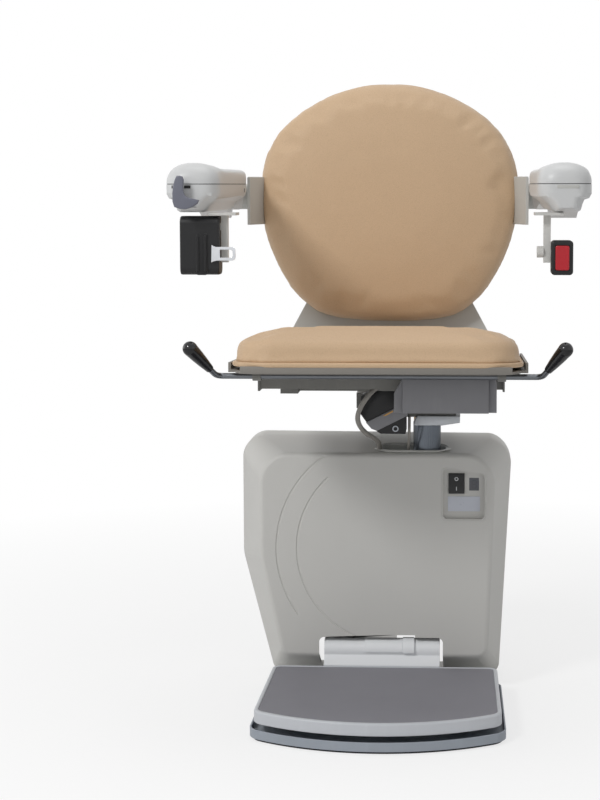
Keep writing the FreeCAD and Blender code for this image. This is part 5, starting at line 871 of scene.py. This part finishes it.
class STAIRLIFT_OT_carriage_cover(Operator):
    """Softens the carriage cover and fits its switches, display and bare plate"""

    bl_idname = "stairlift.carriage_cover"
    bl_label = "Carriage Cover"

    def execute(self, context):
        sizes = context.scene.stairlift_sizes
        form = cad_form("carriage_cover")
        for vertex in form.verts:
            past = max(0, (vertex.co.x - SHOULDER_START) / SHOULDER_WIDTH)
            rise = min(1, max(0, (vertex.co.z - SHOULDER_FOOT) / SHOULDER_RISE))
            vertex.co.z -= SHOULDER_DROP * past * past * rise
        cover = piece_from(form, "carriage_cover_skin", 50)
        stand_in(add_edge(cover, sizes.edge, 3, 40), "cover plastic", "carriage_cover")
        softened("switch_panel", "cover plastic", sizes.edge * 1.5, 3)
        form = cad_form("column_trim")
        for vertex in form.verts:
            vertex.co.z = TRIM_FOOT + (vertex.co.z - TRIM_FOOT) * TRIM_SHARE
        trim = piece_from(form, "column_trim_skin", 50)
        stand_in(add_edge(trim, sizes.fine_edge), "shell plastic", "column_trim")
        softened("power_rocker", "black plastic", sizes.fine_edge)
        plain("status_display", "display window")
        form = bmesh.new()
        add_tile(form, (0.049, 0.023), 0.0012, RECESS_PLATE_PLACE, 0.0006, 0.0002)
        dress(piece_from(form, "recess_plate"), "bare plate", "carriage")
        self.add_marks()
        return {"FINISHED"}

    def add_marks(self):
        """The ring and the bar of the rocker, and the one digit of the display."""
        form = bmesh.new()
        for sign, height in ((1, 0.1272), (-1, 0.1123)):
            back = abs(height - ROCKER_MIDDLE) * math.tan(ROCKER_LEAN)
            spot = (0.109, ROCKER_FRONT - back, height)
            place = facing(spot, (0, -math.cos(ROCKER_LEAN), -sign * math.sin(ROCKER_LEAN)))
            if sign > 0:
                add_washer(form, 0.0019, 0.0029, place, 0.0002)
            else:
                add_plate(form, rounded_rectangle(0.0011, 0.0058, 0.0002), place, 0.0002)
        dress(piece_from(form, "rocker_marks"), "print white", "rocker")
        form = bmesh.new()
        for size, across, up in DIGIT:
            spot = DISPLAY_PLACE + Vector((across, 0, up))
            add_tile(form, size, 0.0003, spot, 0.00015)
        dress(piece_from(form, "display_digit"), "print dark", "carriage")


class STAIRLIFT_OT_footplate(Operator):
    """Dresses the footplate, its mat, hinge panel and sprung safety pan"""

    bl_idname = "stairlift.footplate"
    bl_label = "Footplate"

    def execute(self, context):
        sizes = context.scene.stairlift_sizes
        softened("foot_tray", "tray plastic", sizes.edge, 3)
        softened("hinge_panel", "panel plastic", sizes.edge, 3)
        softened("panel_covers", "panel plastic", sizes.fine_edge)
        softened("safety_pan", "pan plastic", sizes.edge, 3)
        softened("pan_rubber", "black rubber", sizes.edge)
        plain("foot_mat", "mat rubber")
        plain("hinge_arms", "frame paint")
        plain("pan_studs", "zinc steel")
        plain("pan_springs", "black rubber")
        plain("footplate_lugs", "chassis paint")
        plain("footplate_pin", "zinc steel")
        return {"FINISHED"}


# Where the swivel's axis stands, in metres
COLUMN_X = 0.0635
COLUMN_Y = -0.13
# Radius and height of the plain tube over the CAD column's foot
COLUMN_TUBE = ((0.0212, 0.18), (0.0212, 0.2119), (0, 0.2119))
COLUMN_CUT = 0.19
# The bush shows above this height only, drawn in to this share so that the casting hides it
BUSH_CUT = 0.2125
BUSH_SHARE = 0.84
# Outlines across and up, in millimetres
CASTING = ((50, 227), (44, 215), (44, 212.1), (86, 212.1), (114, 216.5), (114.5, 227))
MECHANISM = ((32.5, 249), (155.5, 249), (155.5, 299), (32.5, 299))
LEFT_FLANGE = ((20, 248.5), (33.5, 248.5), (33.5, 299), (29, 292), (20, 276))
RIGHT_FLANGE = ((155, 249), (167, 249), (167, 289), (164.5, 299), (155, 299))
SWITCH_BOX = ((17, 268), (-4, 268), (-33.8, 258), (-34.7, 233), (-26, 221), (-9, 206), (-4, 203),
              (33, 203), (33, 240), (17, 262))
LOOM_STRAP = ((-26.2, 220.5), (-18, 211), (-9.8, 208), (36, 231), (36, 248), (16, 241.5))
BRASS_TAB = ((-1.2, 230.5), (4, 231), (14.5, 237), (14.5, 239))


class STAIRLIFT_OT_swivel(Operator):
    """Dresses the column, the swivel, the seat frame and its covers"""

    bl_idname = "stairlift.swivel"
    bl_label = "Swivel and Seat Frame"

    def execute(self, context):
        sizes = context.scene.stairlift_sizes
        form = kept("swivel_column", (0, 0, COLUMN_CUT), (0, 0, -1))
        add_lathe(form, COLUMN_TUBE, Matrix.Translation((COLUMN_X, COLUMN_Y, 0)), 64)
        stand_in(piece_from(form, "column_tube"), "column steel", "swivel_column")
        form = kept("swivel_bush", (0, 0, BUSH_CUT), (0, 0, 1))
        for vertex in form.verts:
            vertex.co.x = COLUMN_X + (vertex.co.x - COLUMN_X) * BUSH_SHARE
            vertex.co.y = COLUMN_Y + (vertex.co.y - COLUMN_Y) * BUSH_SHARE
        stand_in(piece_from(form, "swivel_bush_skin"), "bronze", "swivel_bush")
        plate_piece("column_casting", "cast aluminium", "swivel_casting", 0.0015, (CASTING, -0.184, -0.076))
        softened("seat_frame", "frame paint", sizes.edge)
        plate_piece("mechanism_box", "box paint", "mechanism_cover", 0.001, (MECHANISM, -0.330, -0.290),
                    (LEFT_FLANGE, -0.320, -0.290), (RIGHT_FLANGE, -0.321, -0.290))
        plate_piece("switch_box", "black plastic", "junction_box", 0.001, (SWITCH_BOX, -0.2115, -0.152))
        plate_piece("loom_strap", "box paint", "loom_bracket", 0.0006, (LOOM_STRAP, -0.2152, -0.2118))
        form = bmesh.new()
        outline_plate(form, BRASS_TAB, -0.2165, -0.2154)
        dress(piece_from(form, "brass_tab"), "bronze", "swivel")
        form = bmesh.new()
        add_washer(form, 0.003, 0.0046, facing((0.018, -0.2117, 0.211), FORWARD), 0.002)
        dress(piece_from(form, "box_eyelet"), "zinc steel", "swivel")
        plain("lever_bar", "bar steel")
        plain("lever_grips", "grip plastic")
        return {"FINISHED"}


# Routes of the looms, in millimetres: across, along Y and up
LOOM_ROUTE = [(-6, -216.5, 278), (-6, -232, 278), (-20, -241, 266), (-33, -238, 247), (-39, -226, 229),
              (-35, -213, 213), (-26, -186, 199), (-17, -162, 190), (-10, -144, 181), (-8, -138, 163),
              (-8, -138, 146)]
THIN_LOOM_ROUTE = [(38, -186, 226), (38, -186, 214), (37.5, -178, 203), (37, -168, 192), (36, -155, 182),
                   (35, -146, 170), (35, -143, 152)]


class STAIRLIFT_OT_looms(Operator):
    """Runs the two wiring looms from the seat frame into the carriage"""

    bl_idname = "stairlift.looms"
    bl_label = "Wiring Looms"

    def execute(self, context):
        looms = (("main_loom", LOOM_ROUTE, 0.0038), ("thin_loom", THIN_LOOM_ROUTE, 0.0022))
        for name, route, radius in looms:
            points = [Vector(point) / 1000 for point in route]
            line = centre_line(points)
            piece = tube_along(name, points, radius)
            piece.data.materials.append(FINISHES["loom sleeve"])
            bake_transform(piece)
            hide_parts("wiring_looms")
        return {"FINISHED"}


# The arms, in metres: middle of an arm from the middle of the chair, half its width, the place of its
# front end, the height of the parting between its shells and the radius of its nose
ARM_MIDDLE = 0.258
ARM_HALF = 0.038
ARM_FRONT = -0.4
ARM_PARTING = 0.575
NOSE_RADIUS = 0.03
# The upper shell stands a little over the parting
TOP_FOOT = 0.576
TOP_HEIGHT = 0.029
# Places behind the front end where the shells' sections are drawn
TOP_SECTIONS = (0, 0.0012, 0.004, 0.008, 0.013, 0.02, 0.028, 0.036, 0.045, 0.055, 0.065, 0.075, 0.086,
                0.12, 0.2, 0.3, 0.324, 0.3252)
BASE_SECTIONS = (0, 0.0015, 0.004, 0.008, 0.013, 0.019, 0.026, 0.034, 0.3255)
# The seal in the parting: half its width, the places of its ends along Y, its foot and its thickness
SEAL_HALF = 0.0374
SEAL_FRONT = -0.3993
SEAL_BACK = -0.076
SEAL_FOOT = 0.5746
SEAL_THICKNESS = 0.0018
# What the lower shell keeps of the CAD form: the ear behind this place along Y
EAR_FRONT = -0.075
# How far right of the CAD node the visible belt bracket sits
BRACKET_SHIFTS = {"left": 0.0105, "right": 0.009}
# Outline of an arm's lower shell across the arm: outward from the middle, and height, in metres
ARM_BASE = (
    (0.296, 0.575), (0.296, 0.562), (0.2925, 0.5555), (0.286, 0.5535), (0.2835, 0.548), (0.281, 0.539),
    (0.2765, 0.5362), (0.246, 0.5362), (0.2415, 0.539), (0.236, 0.5475), (0.229, 0.553),
    (0.222, 0.5575), (0.22, 0.564), (0.22, 0.575),
)
# Outline of the toggle's blade, in millimetres
PADDLE = (
    (-275, 586.9), (-270.5, 587), (-267.2, 586), (-265.2, 580.8), (-266, 573), (-266, 565),
    (-263, 558.6), (-255.7, 556.2), (-244, 553.6), (-246.4, 548.3), (-254.3, 543.6), (-262.3, 540.9),
    (-270.3, 541.2), (-278.5, 544), (-280.9, 551.7), (-281.1, 562.2), (-279.8, 573), (-277.7, 580.8),
)


class STAIRLIFT_OT_arms(Operator):
    """Dresses the folding arms, their belt brackets and the toggle"""

    bl_idname = "stairlift.arms"
    bl_label = "Arms"

    def execute(self, context):
        sizes = context.scene.stairlift_sizes
        for side, sign in (("left", -1), ("right", 1)):
            self.add_top(side, sign)
            self.add_base(side, sign)
            softened(side + "_belt_bracket", "bracket paint", sizes.fine_edge,
                     offset=(BRACKET_SHIFTS[side], 0, 0))
        self.add_paddle()
        return {"FINISHED"}

    def add_top(self, side, sign):
        """The upper shell: a domed nose that falls to a lower, flatter pad behind it."""
        rings = []
        for ahead in TOP_SECTIONS:
            nose = math.sqrt(max(0, 1 - max(0, 1 - ahead / NOSE_RADIUS) ** 2))
            wide = ARM_HALF * (0.3 + 0.7 * nose)
            fall = min(1, max(0, (ahead - 0.036) / 0.05))
            fall = fall * fall * (3 - 2 * fall)
            tall = TOP_HEIGHT * (0.25 + 0.75 * nose) * (1 - 0.24 * fall)
            power = 2.3 + 3.2 * fall
            ring = []
            for step in range(25):
                angle = math.pi * step / 24
                x = math.copysign(abs(math.cos(angle)) ** (2 / power), math.cos(angle)) * wide
                z = math.sin(angle) ** (2 / power) * tall
                ring.append((sign * ARM_MIDDLE + x, ARM_FRONT + ahead, TOP_FOOT + z))
            rings.append(ring)
        form = bmesh.new()
        skin_rings(form, rings)
        name = side + "_arm_top"
        stand_in(piece_from(form, name + "_skin", 50), "arm plastic", name)
        seal = []
        for step in range(-12, 13):
            angle = math.pi / 2 * step / 12
            seal.append((sign * ARM_MIDDLE + SEAL_HALF * math.sin(angle),
                         SEAL_FRONT + NOSE_RADIUS * (1 - math.cos(angle))))
        seal += [(sign * ARM_MIDDLE + half, SEAL_BACK) for half in (SEAL_HALF, -SEAL_HALF)]
        form = bmesh.new()
        add_plate(form, seal, Matrix.Translation((0, 0, SEAL_FOOT)), SEAL_THICKNESS)
        dress(piece_from(form, side + "_parting_seal"), "black rubber", side + "_arm")

    def add_base(self, side, sign):
        """The lower shell: a lip round the outside, a keel under it, and the ear at its pivot."""
        name = side + "_arm_base"
        form = cad_form(name)
        bmesh.ops.bisect_plane(form, geom=form.verts[:] + form.edges[:] + form.faces[:],
                               plane_co=(0, EAR_FRONT, 0), plane_no=(0, -1, 0), clear_outer=True)
        rings = []
        for ahead in BASE_SECTIONS:
            short = max(0, NOSE_RADIUS - ahead)
            inset = NOSE_RADIUS - math.sqrt(max(0, NOSE_RADIUS ** 2 - short ** 2))
            wide = (ARM_HALF - inset * 0.75) / ARM_HALF
            ring = []
            for x, z in ARM_BASE:
                drop = (ARM_PARTING - z) * (1 - 0.25 * inset / NOSE_RADIUS)
                across = sign * (ARM_MIDDLE + (x - ARM_MIDDLE) * wide)
                ring.append((across, ARM_FRONT + ahead, ARM_PARTING - drop))
            rings.append(ring)
        skin_rings(form, rings)
        base = add_edge(piece_from(form, name + "_skin", 40), 0.0015, 3, 30)
        stand_in(base, "arm plastic", name)

    def add_paddle(self):
        """The toggle's sail-shaped blade on its stem, black tiles of painted shade over the slots beside
        it, and the other arm's panel.
        """
        form = bmesh.new()
        blade = [(x / 1000, z / 1000) for x, z in PADDLE]
        add_plate(form, blade, facing((0, -0.412, 0), FORWARD), 0.005, 0.0014, 3)
        stem = Matrix.Translation((-0.2785, 0, 0.564)) @ Matrix.Rotation(math.radians(90), 4, "X")
        add_lathe(form, [(0, 0.376), (0.0028, 0.376), (0.0028, 0.413), (0, 0.413)], stem, 24)
        stand_in(piece_from(form, "toggle_blade"), "toggle plastic", "toggle_paddle")
        # Black tiles over the two slots beside the toggle and one on the arm's inner side: painted shade of
        # the openings
        form = bmesh.new()
        add_tile(form, (0.005, 0.0042), 0.0006, (-0.2825, -0.3962, 0.5715), 0.0006, steps=2)
        add_tile(form, (0.009, 0.0042), 0.0006, (-0.2625, -0.4, 0.5715), 0.0006, steps=2)
        add_tile(form, (0.003, 0.006), 0.0006, (-0.2199, -0.1, 0.566), 0.0004, steps=2, normal=(1, 0, 0))
        dress(piece_from(form, "slot_shade_tiles"), "black plastic", "left_arm")
        form = bmesh.new()
        add_tile(form, (0.03, 0.0045), 0.001, (0.262, -0.4, 0.5715), 0.0006, 0.0002, 2)
        dress(piece_from(form, "blank_panel"), "shell plastic", "right_arm")


# How far right of the CAD nodes the visible belt parts sit
REEL_SHIFT = (0.0145, 0, 0)
BUCKLE_SHIFT = (0.009, 0, 0)
# The chrome tongue and its window, across and up in millimetres, and its back face and thickness
TONGUE = ((-231, 491.5), (-228.5, 489.3), (-225, 488.4), (-202, 488.4), (-199, 487.2), (-197.8, 484.5),
          (-197.8, 474), (-199, 470.8), (-202, 469.4), (-224, 469.2), (-228.5, 468.2), (-231.7, 466.4))
WINDOW = ((-219.5, 484.5), (-203.7, 484.5), (-201.6, 482.5), (-201.6, 475.5), (-203.7, 473.5),
          (-219.5, 473.5))
TONGUE_BACK = -0.3875
TONGUE_THICKNESS = 0.0022
# The webbing and its two sewn folds: size, corner, place, thickness and edge
WEB_LAYERS = (
    ((0.016, 0.058), 0.003, (-0.2455, -0.3842, 0.478), 0.0022, 0.0006),
    ((0.0035, 0.05), 0.0015, (-0.2512, -0.3864, 0.479), 0.0016, 0.0005),
    ((0.0035, 0.05), 0.0015, (-0.2405, -0.3864, 0.479), 0.0016, 0.0005),
)


class STAIRLIFT_OT_belt(Operator):
    """Dresses the belt reel, webbing, tongue and buckle"""

    bl_idname = "stairlift.belt"
    bl_label = "Lap Belt"

    def execute(self, context):
        sizes = context.scene.stairlift_sizes
        softened("belt_reel", "black plastic", sizes.edge * 2, 3, REEL_SHIFT)
        softened("buckle_body", "black plastic", sizes.edge, offset=BUCKLE_SHIFT)
        softened("buckle_button", "button plastic", sizes.edge, offset=BUCKLE_SHIFT)
        self.add_tongue()
        self.add_webbing()
        return {"FINISHED"}

    def add_tongue(self):
        """The chrome tongue: a flared root, a rounded blade and its window."""
        form = bmesh.new()
        edges = []
        for outline in (TONGUE, WINDOW):
            loop = [form.verts.new((x / 1000, TONGUE_BACK, z / 1000)) for x, z in outline]
            edges += [form.edges.new(pair) for pair in zip(loop, loop[1:] + loop[:1])]
        bmesh.ops.triangle_fill(form, edges=edges, use_beauty=True)
        raised = bmesh.ops.extrude_face_region(form, geom=form.faces[:])
        verts = [item for item in raised["geom"] if isinstance(item, bmesh.types.BMVert)]
        bmesh.ops.translate(form, verts=verts, vec=(0, -TONGUE_THICKNESS, 0))
        bmesh.ops.recalc_face_normals(form, faces=form.faces)
        tongue = add_edge(piece_from(form, "chrome_tongue", 40), 0.0005)
        stand_in(tongue, "tongue chrome", "belt_tongue")

    def add_webbing(self):
        """The stub of webbing that the tongue hangs on, with its sewn loop."""
        form = bmesh.new()
        for layer in WEB_LAYERS:
            add_tile(form, *layer)
        stand_in(piece_from(form, "web_stub"), "belt webbing", "belt_web")


RUNNING_GEAR = (
    ("chassis_plate", "chassis paint"), ("column_socket", "chassis paint"), ("rail_guide_pad", "nylon"),
    ("roller_axles", "zinc steel"), ("gearbox_housing", "cast aluminium"), ("drive_motor", "black plastic"),
    ("drive_pinion", "gear steel"), ("battery_pack", "black plastic"), ("control_board", "board lacquer"),
    ("charge_contacts", "bronze"), ("height_bolt", "zinc steel"), ("rail_roller_1", "nylon"),
    ("rail_roller_2", "nylon"), ("rail_roller_3", "nylon"), ("rail_roller_4", "nylon"),
)


class STAIRLIFT_OT_running_gear(Operator):
    """Gives the chassis, rollers, drive and batteries behind the cover their finishes"""

    bl_idname = "stairlift.running_gear"
    bl_label = "Running Gear"

    def execute(self, context):
        for name, finish in RUNNING_GEAR:
            plain(name, finish)
        return {"FINISHED"}


# Each lamp: place, target, width in metres and power in watts
LAMPS = (
    ("key lamp", (-1.7, -2.4, 2.3), (0, -0.1, 0.4), 0.7, 41),
    ("fill lamp", (2.4, -2.0, 1.3), (0, -0.1, 0.3), 2.0, 2),
    ("top lamp", (0.2, 0.0, 2.6), (0, -0.2, 0.3), 1.6, 12),
    ("side lamp", (-2.6, 0.2, 0.9), (0, -0.1, 0.3), 1.6, 6),
)
# Strength of the pale room on the chair, and as seen by the camera
ROOM_LIGHT = 0.38
ROOM_SEEN = 1.0
CAMERA_PLACE = (0.122, -2.906, 0.574)
CAMERA_YAW = math.radians(2.7)
CAMERA_PITCH = math.radians(5)
CAMERA_ROLL = math.radians(0.06)
# Shift of the picture in pixels of its 800 pixel height
CAMERA_SHIFT = (-80, -56)
PICTURE_HEIGHT = 800
# How far the floor lies under the lowest CAD point
FLOOR_GAP = 0.0005


class STAIRLIFT_OT_studio(Operator):
    """Sets the pale floor, the soft lamps and the camera"""

    bl_idname = "stairlift.studio"
    bl_label = "Studio"

    def execute(self, context):
        scene = context.scene
        self.add_camera(scene)
        for lamp in LAMPS:
            self.add_lamp(*lamp)
        world = bpy.data.worlds.new("pale room")
        world.use_nodes = True
        scene.world = world
        tree = world.node_tree
        background = tree.nodes["Background"]
        path = node(tree, "LightPath")
        seen = maths(tree, "MAXIMUM", path.outputs["Is Camera Ray"], path.outputs["Is Glossy Ray"])
        seen = maths(tree, "MAXIMUM", seen, path.outputs["Is Transmission Ray"])
        light = spread(tree, seen, ROOM_LIGHT, ROOM_SEEN)
        background.inputs["Color"].default_value = (1, 1, 1, 1)
        wire(tree, light, background.inputs["Strength"])
        self.add_floor(scene)
        scene.view_settings.view_transform = "Standard"
        return {"FINISHED"}

    def add_camera(self, scene):
        data = bpy.data.cameras.new("photo camera")
        data.sensor_width = 36
        data.lens = scene.stairlift_sizes.lens
        data.shift_x, data.shift_y = (pixels / PICTURE_HEIGHT for pixels in CAMERA_SHIFT)
        data.clip_end = 100
        camera = bpy.data.objects.new("photo camera", data)
        scene.collection.objects.link(camera)
        level = math.cos(CAMERA_PITCH)
        across, along = -math.sin(CAMERA_YAW) * level, math.cos(CAMERA_YAW) * level
        ahead = Vector((across, along, -math.sin(CAMERA_PITCH)))
        aim = ahead.to_track_quat("-Z", "Y").to_matrix().to_4x4()
        turn = aim @ Matrix.Rotation(-CAMERA_ROLL, 4, "Z")
        camera.matrix_world = Matrix.Translation(CAMERA_PLACE) @ turn
        scene.camera = camera

    def add_lamp(self, name, place, target, size, power):
        data = bpy.data.lights.new(name, "AREA")
        data.shape = "DISK"
        data.size = size
        data.energy = power
        lamp = bpy.data.objects.new(name, data)
        bpy.context.scene.collection.objects.link(lamp)
        aim = (Vector(target) - Vector(place)).to_track_quat("-Z", "Y").to_matrix().to_4x4()
        lamp.matrix_world = Matrix.Translation(place) @ aim

    def add_floor(self, scene):
        form = bmesh.new()
        level = CAD_BOX[0].z - FLOOR_GAP
        bmesh.ops.create_grid(form, x_segments=2, y_segments=2, size=12,
                              matrix=Matrix.Translation((0, 0, level)))
        floor = piece_from(form, "studio_floor")
        material = bpy.data.materials.new("pale floor")
        material.use_nodes = True
        tree = material.node_tree
        shader = tree.nodes["Principled BSDF"]
        shade = scene.stairlift_colours.floor
        clouds = noise(tree, object_place(tree), 3.0)
        wire(tree, tint(tree, clouds, darker(shade, 0.995), shade), shader.inputs["Base Color"])
        shader.inputs["Roughness"].default_value = 0.9
        glow = node(tree, "Emission")
        glow.inputs["Color"].default_value = (1, 1, 1, 1)
        mix = node(tree, "MixShader")
        path = node(tree, "LightPath")
        away = node(tree, "VectorMath", operation="LENGTH")
        wire(tree, object_place(tree), away.inputs[0])
        fade = node(tree, "MapRange")
        wire(tree, away.outputs["Value"], fade.inputs["Value"])
        # The floor glows more with the distance from the chair, so that it has no edge in the picture
        for title, value in (("From Min", 0.5), ("From Max", 1.6), ("To Min", 0.72), ("To Max", 1.0)):
            fade.inputs[title].default_value = value
        share = maths(tree, "MULTIPLY", path.outputs["Is Camera Ray"], fade.outputs[0])
        wire(tree, share, mix.inputs[0])
        wire(tree, shader.outputs[0], mix.inputs[1])
        wire(tree, glow.outputs[0], mix.inputs[2])
        wire(tree, mix.outputs[0], tree.nodes["Material Output"].inputs["Surface"])
        floor.data.materials.append(material)


OPERATORS = (
    STAIRLIFT_OT_studio,
    STAIRLIFT_OT_looms,
    STAIRLIFT_OT_running_gear,
    STAIRLIFT_OT_carriage_cover,
    STAIRLIFT_OT_footplate,
    STAIRLIFT_OT_swivel,
    STAIRLIFT_OT_seat_cushion,
    STAIRLIFT_OT_back_cushion,
    STAIRLIFT_OT_arms,
    STAIRLIFT_OT_belt,
)


class STAIRLIFT_PT_sidebar(Panel):
    """Lists the chair's pieces"""

    bl_label = "Stairlift Chair"
    bl_idname = "STAIRLIFT_PT_sidebar"
    bl_space_type = "VIEW_3D"
    bl_region_type = "UI"
    bl_category = "Stairlift"

    def draw(self, context):
        for operator in OPERATORS:
            self.layout.operator(operator.bl_idname)
        for group in (context.scene.stairlift_colours, context.scene.stairlift_sizes):
            for name in group.bl_rna.properties.keys():
                if name not in ("rna_type", "name"):
                    self.layout.prop(group, name)


CLASSES = (StairliftColours, StairliftSizes, *OPERATORS, STAIRLIFT_PT_sidebar)


def register():
    for item in CLASSES:
        bpy.utils.register_class(item)
    bpy.types.Scene.stairlift_colours = PointerProperty(type=StairliftColours)
    bpy.types.Scene.stairlift_sizes = PointerProperty(type=StairliftSizes)


def unregister():
    del bpy.types.Scene.stairlift_sizes
    del bpy.types.Scene.stairlift_colours
    for item in reversed(CLASSES):
        bpy.utils.unregister_class(item)


def main():
    register()
    make_finishes(bpy.context.scene.stairlift_colours)
    for operator in OPERATORS:
        family, name = operator.bl_idname.split(".")
        getattr(getattr(bpy.ops, family), name)()


if __name__ == "__main__":
    main()
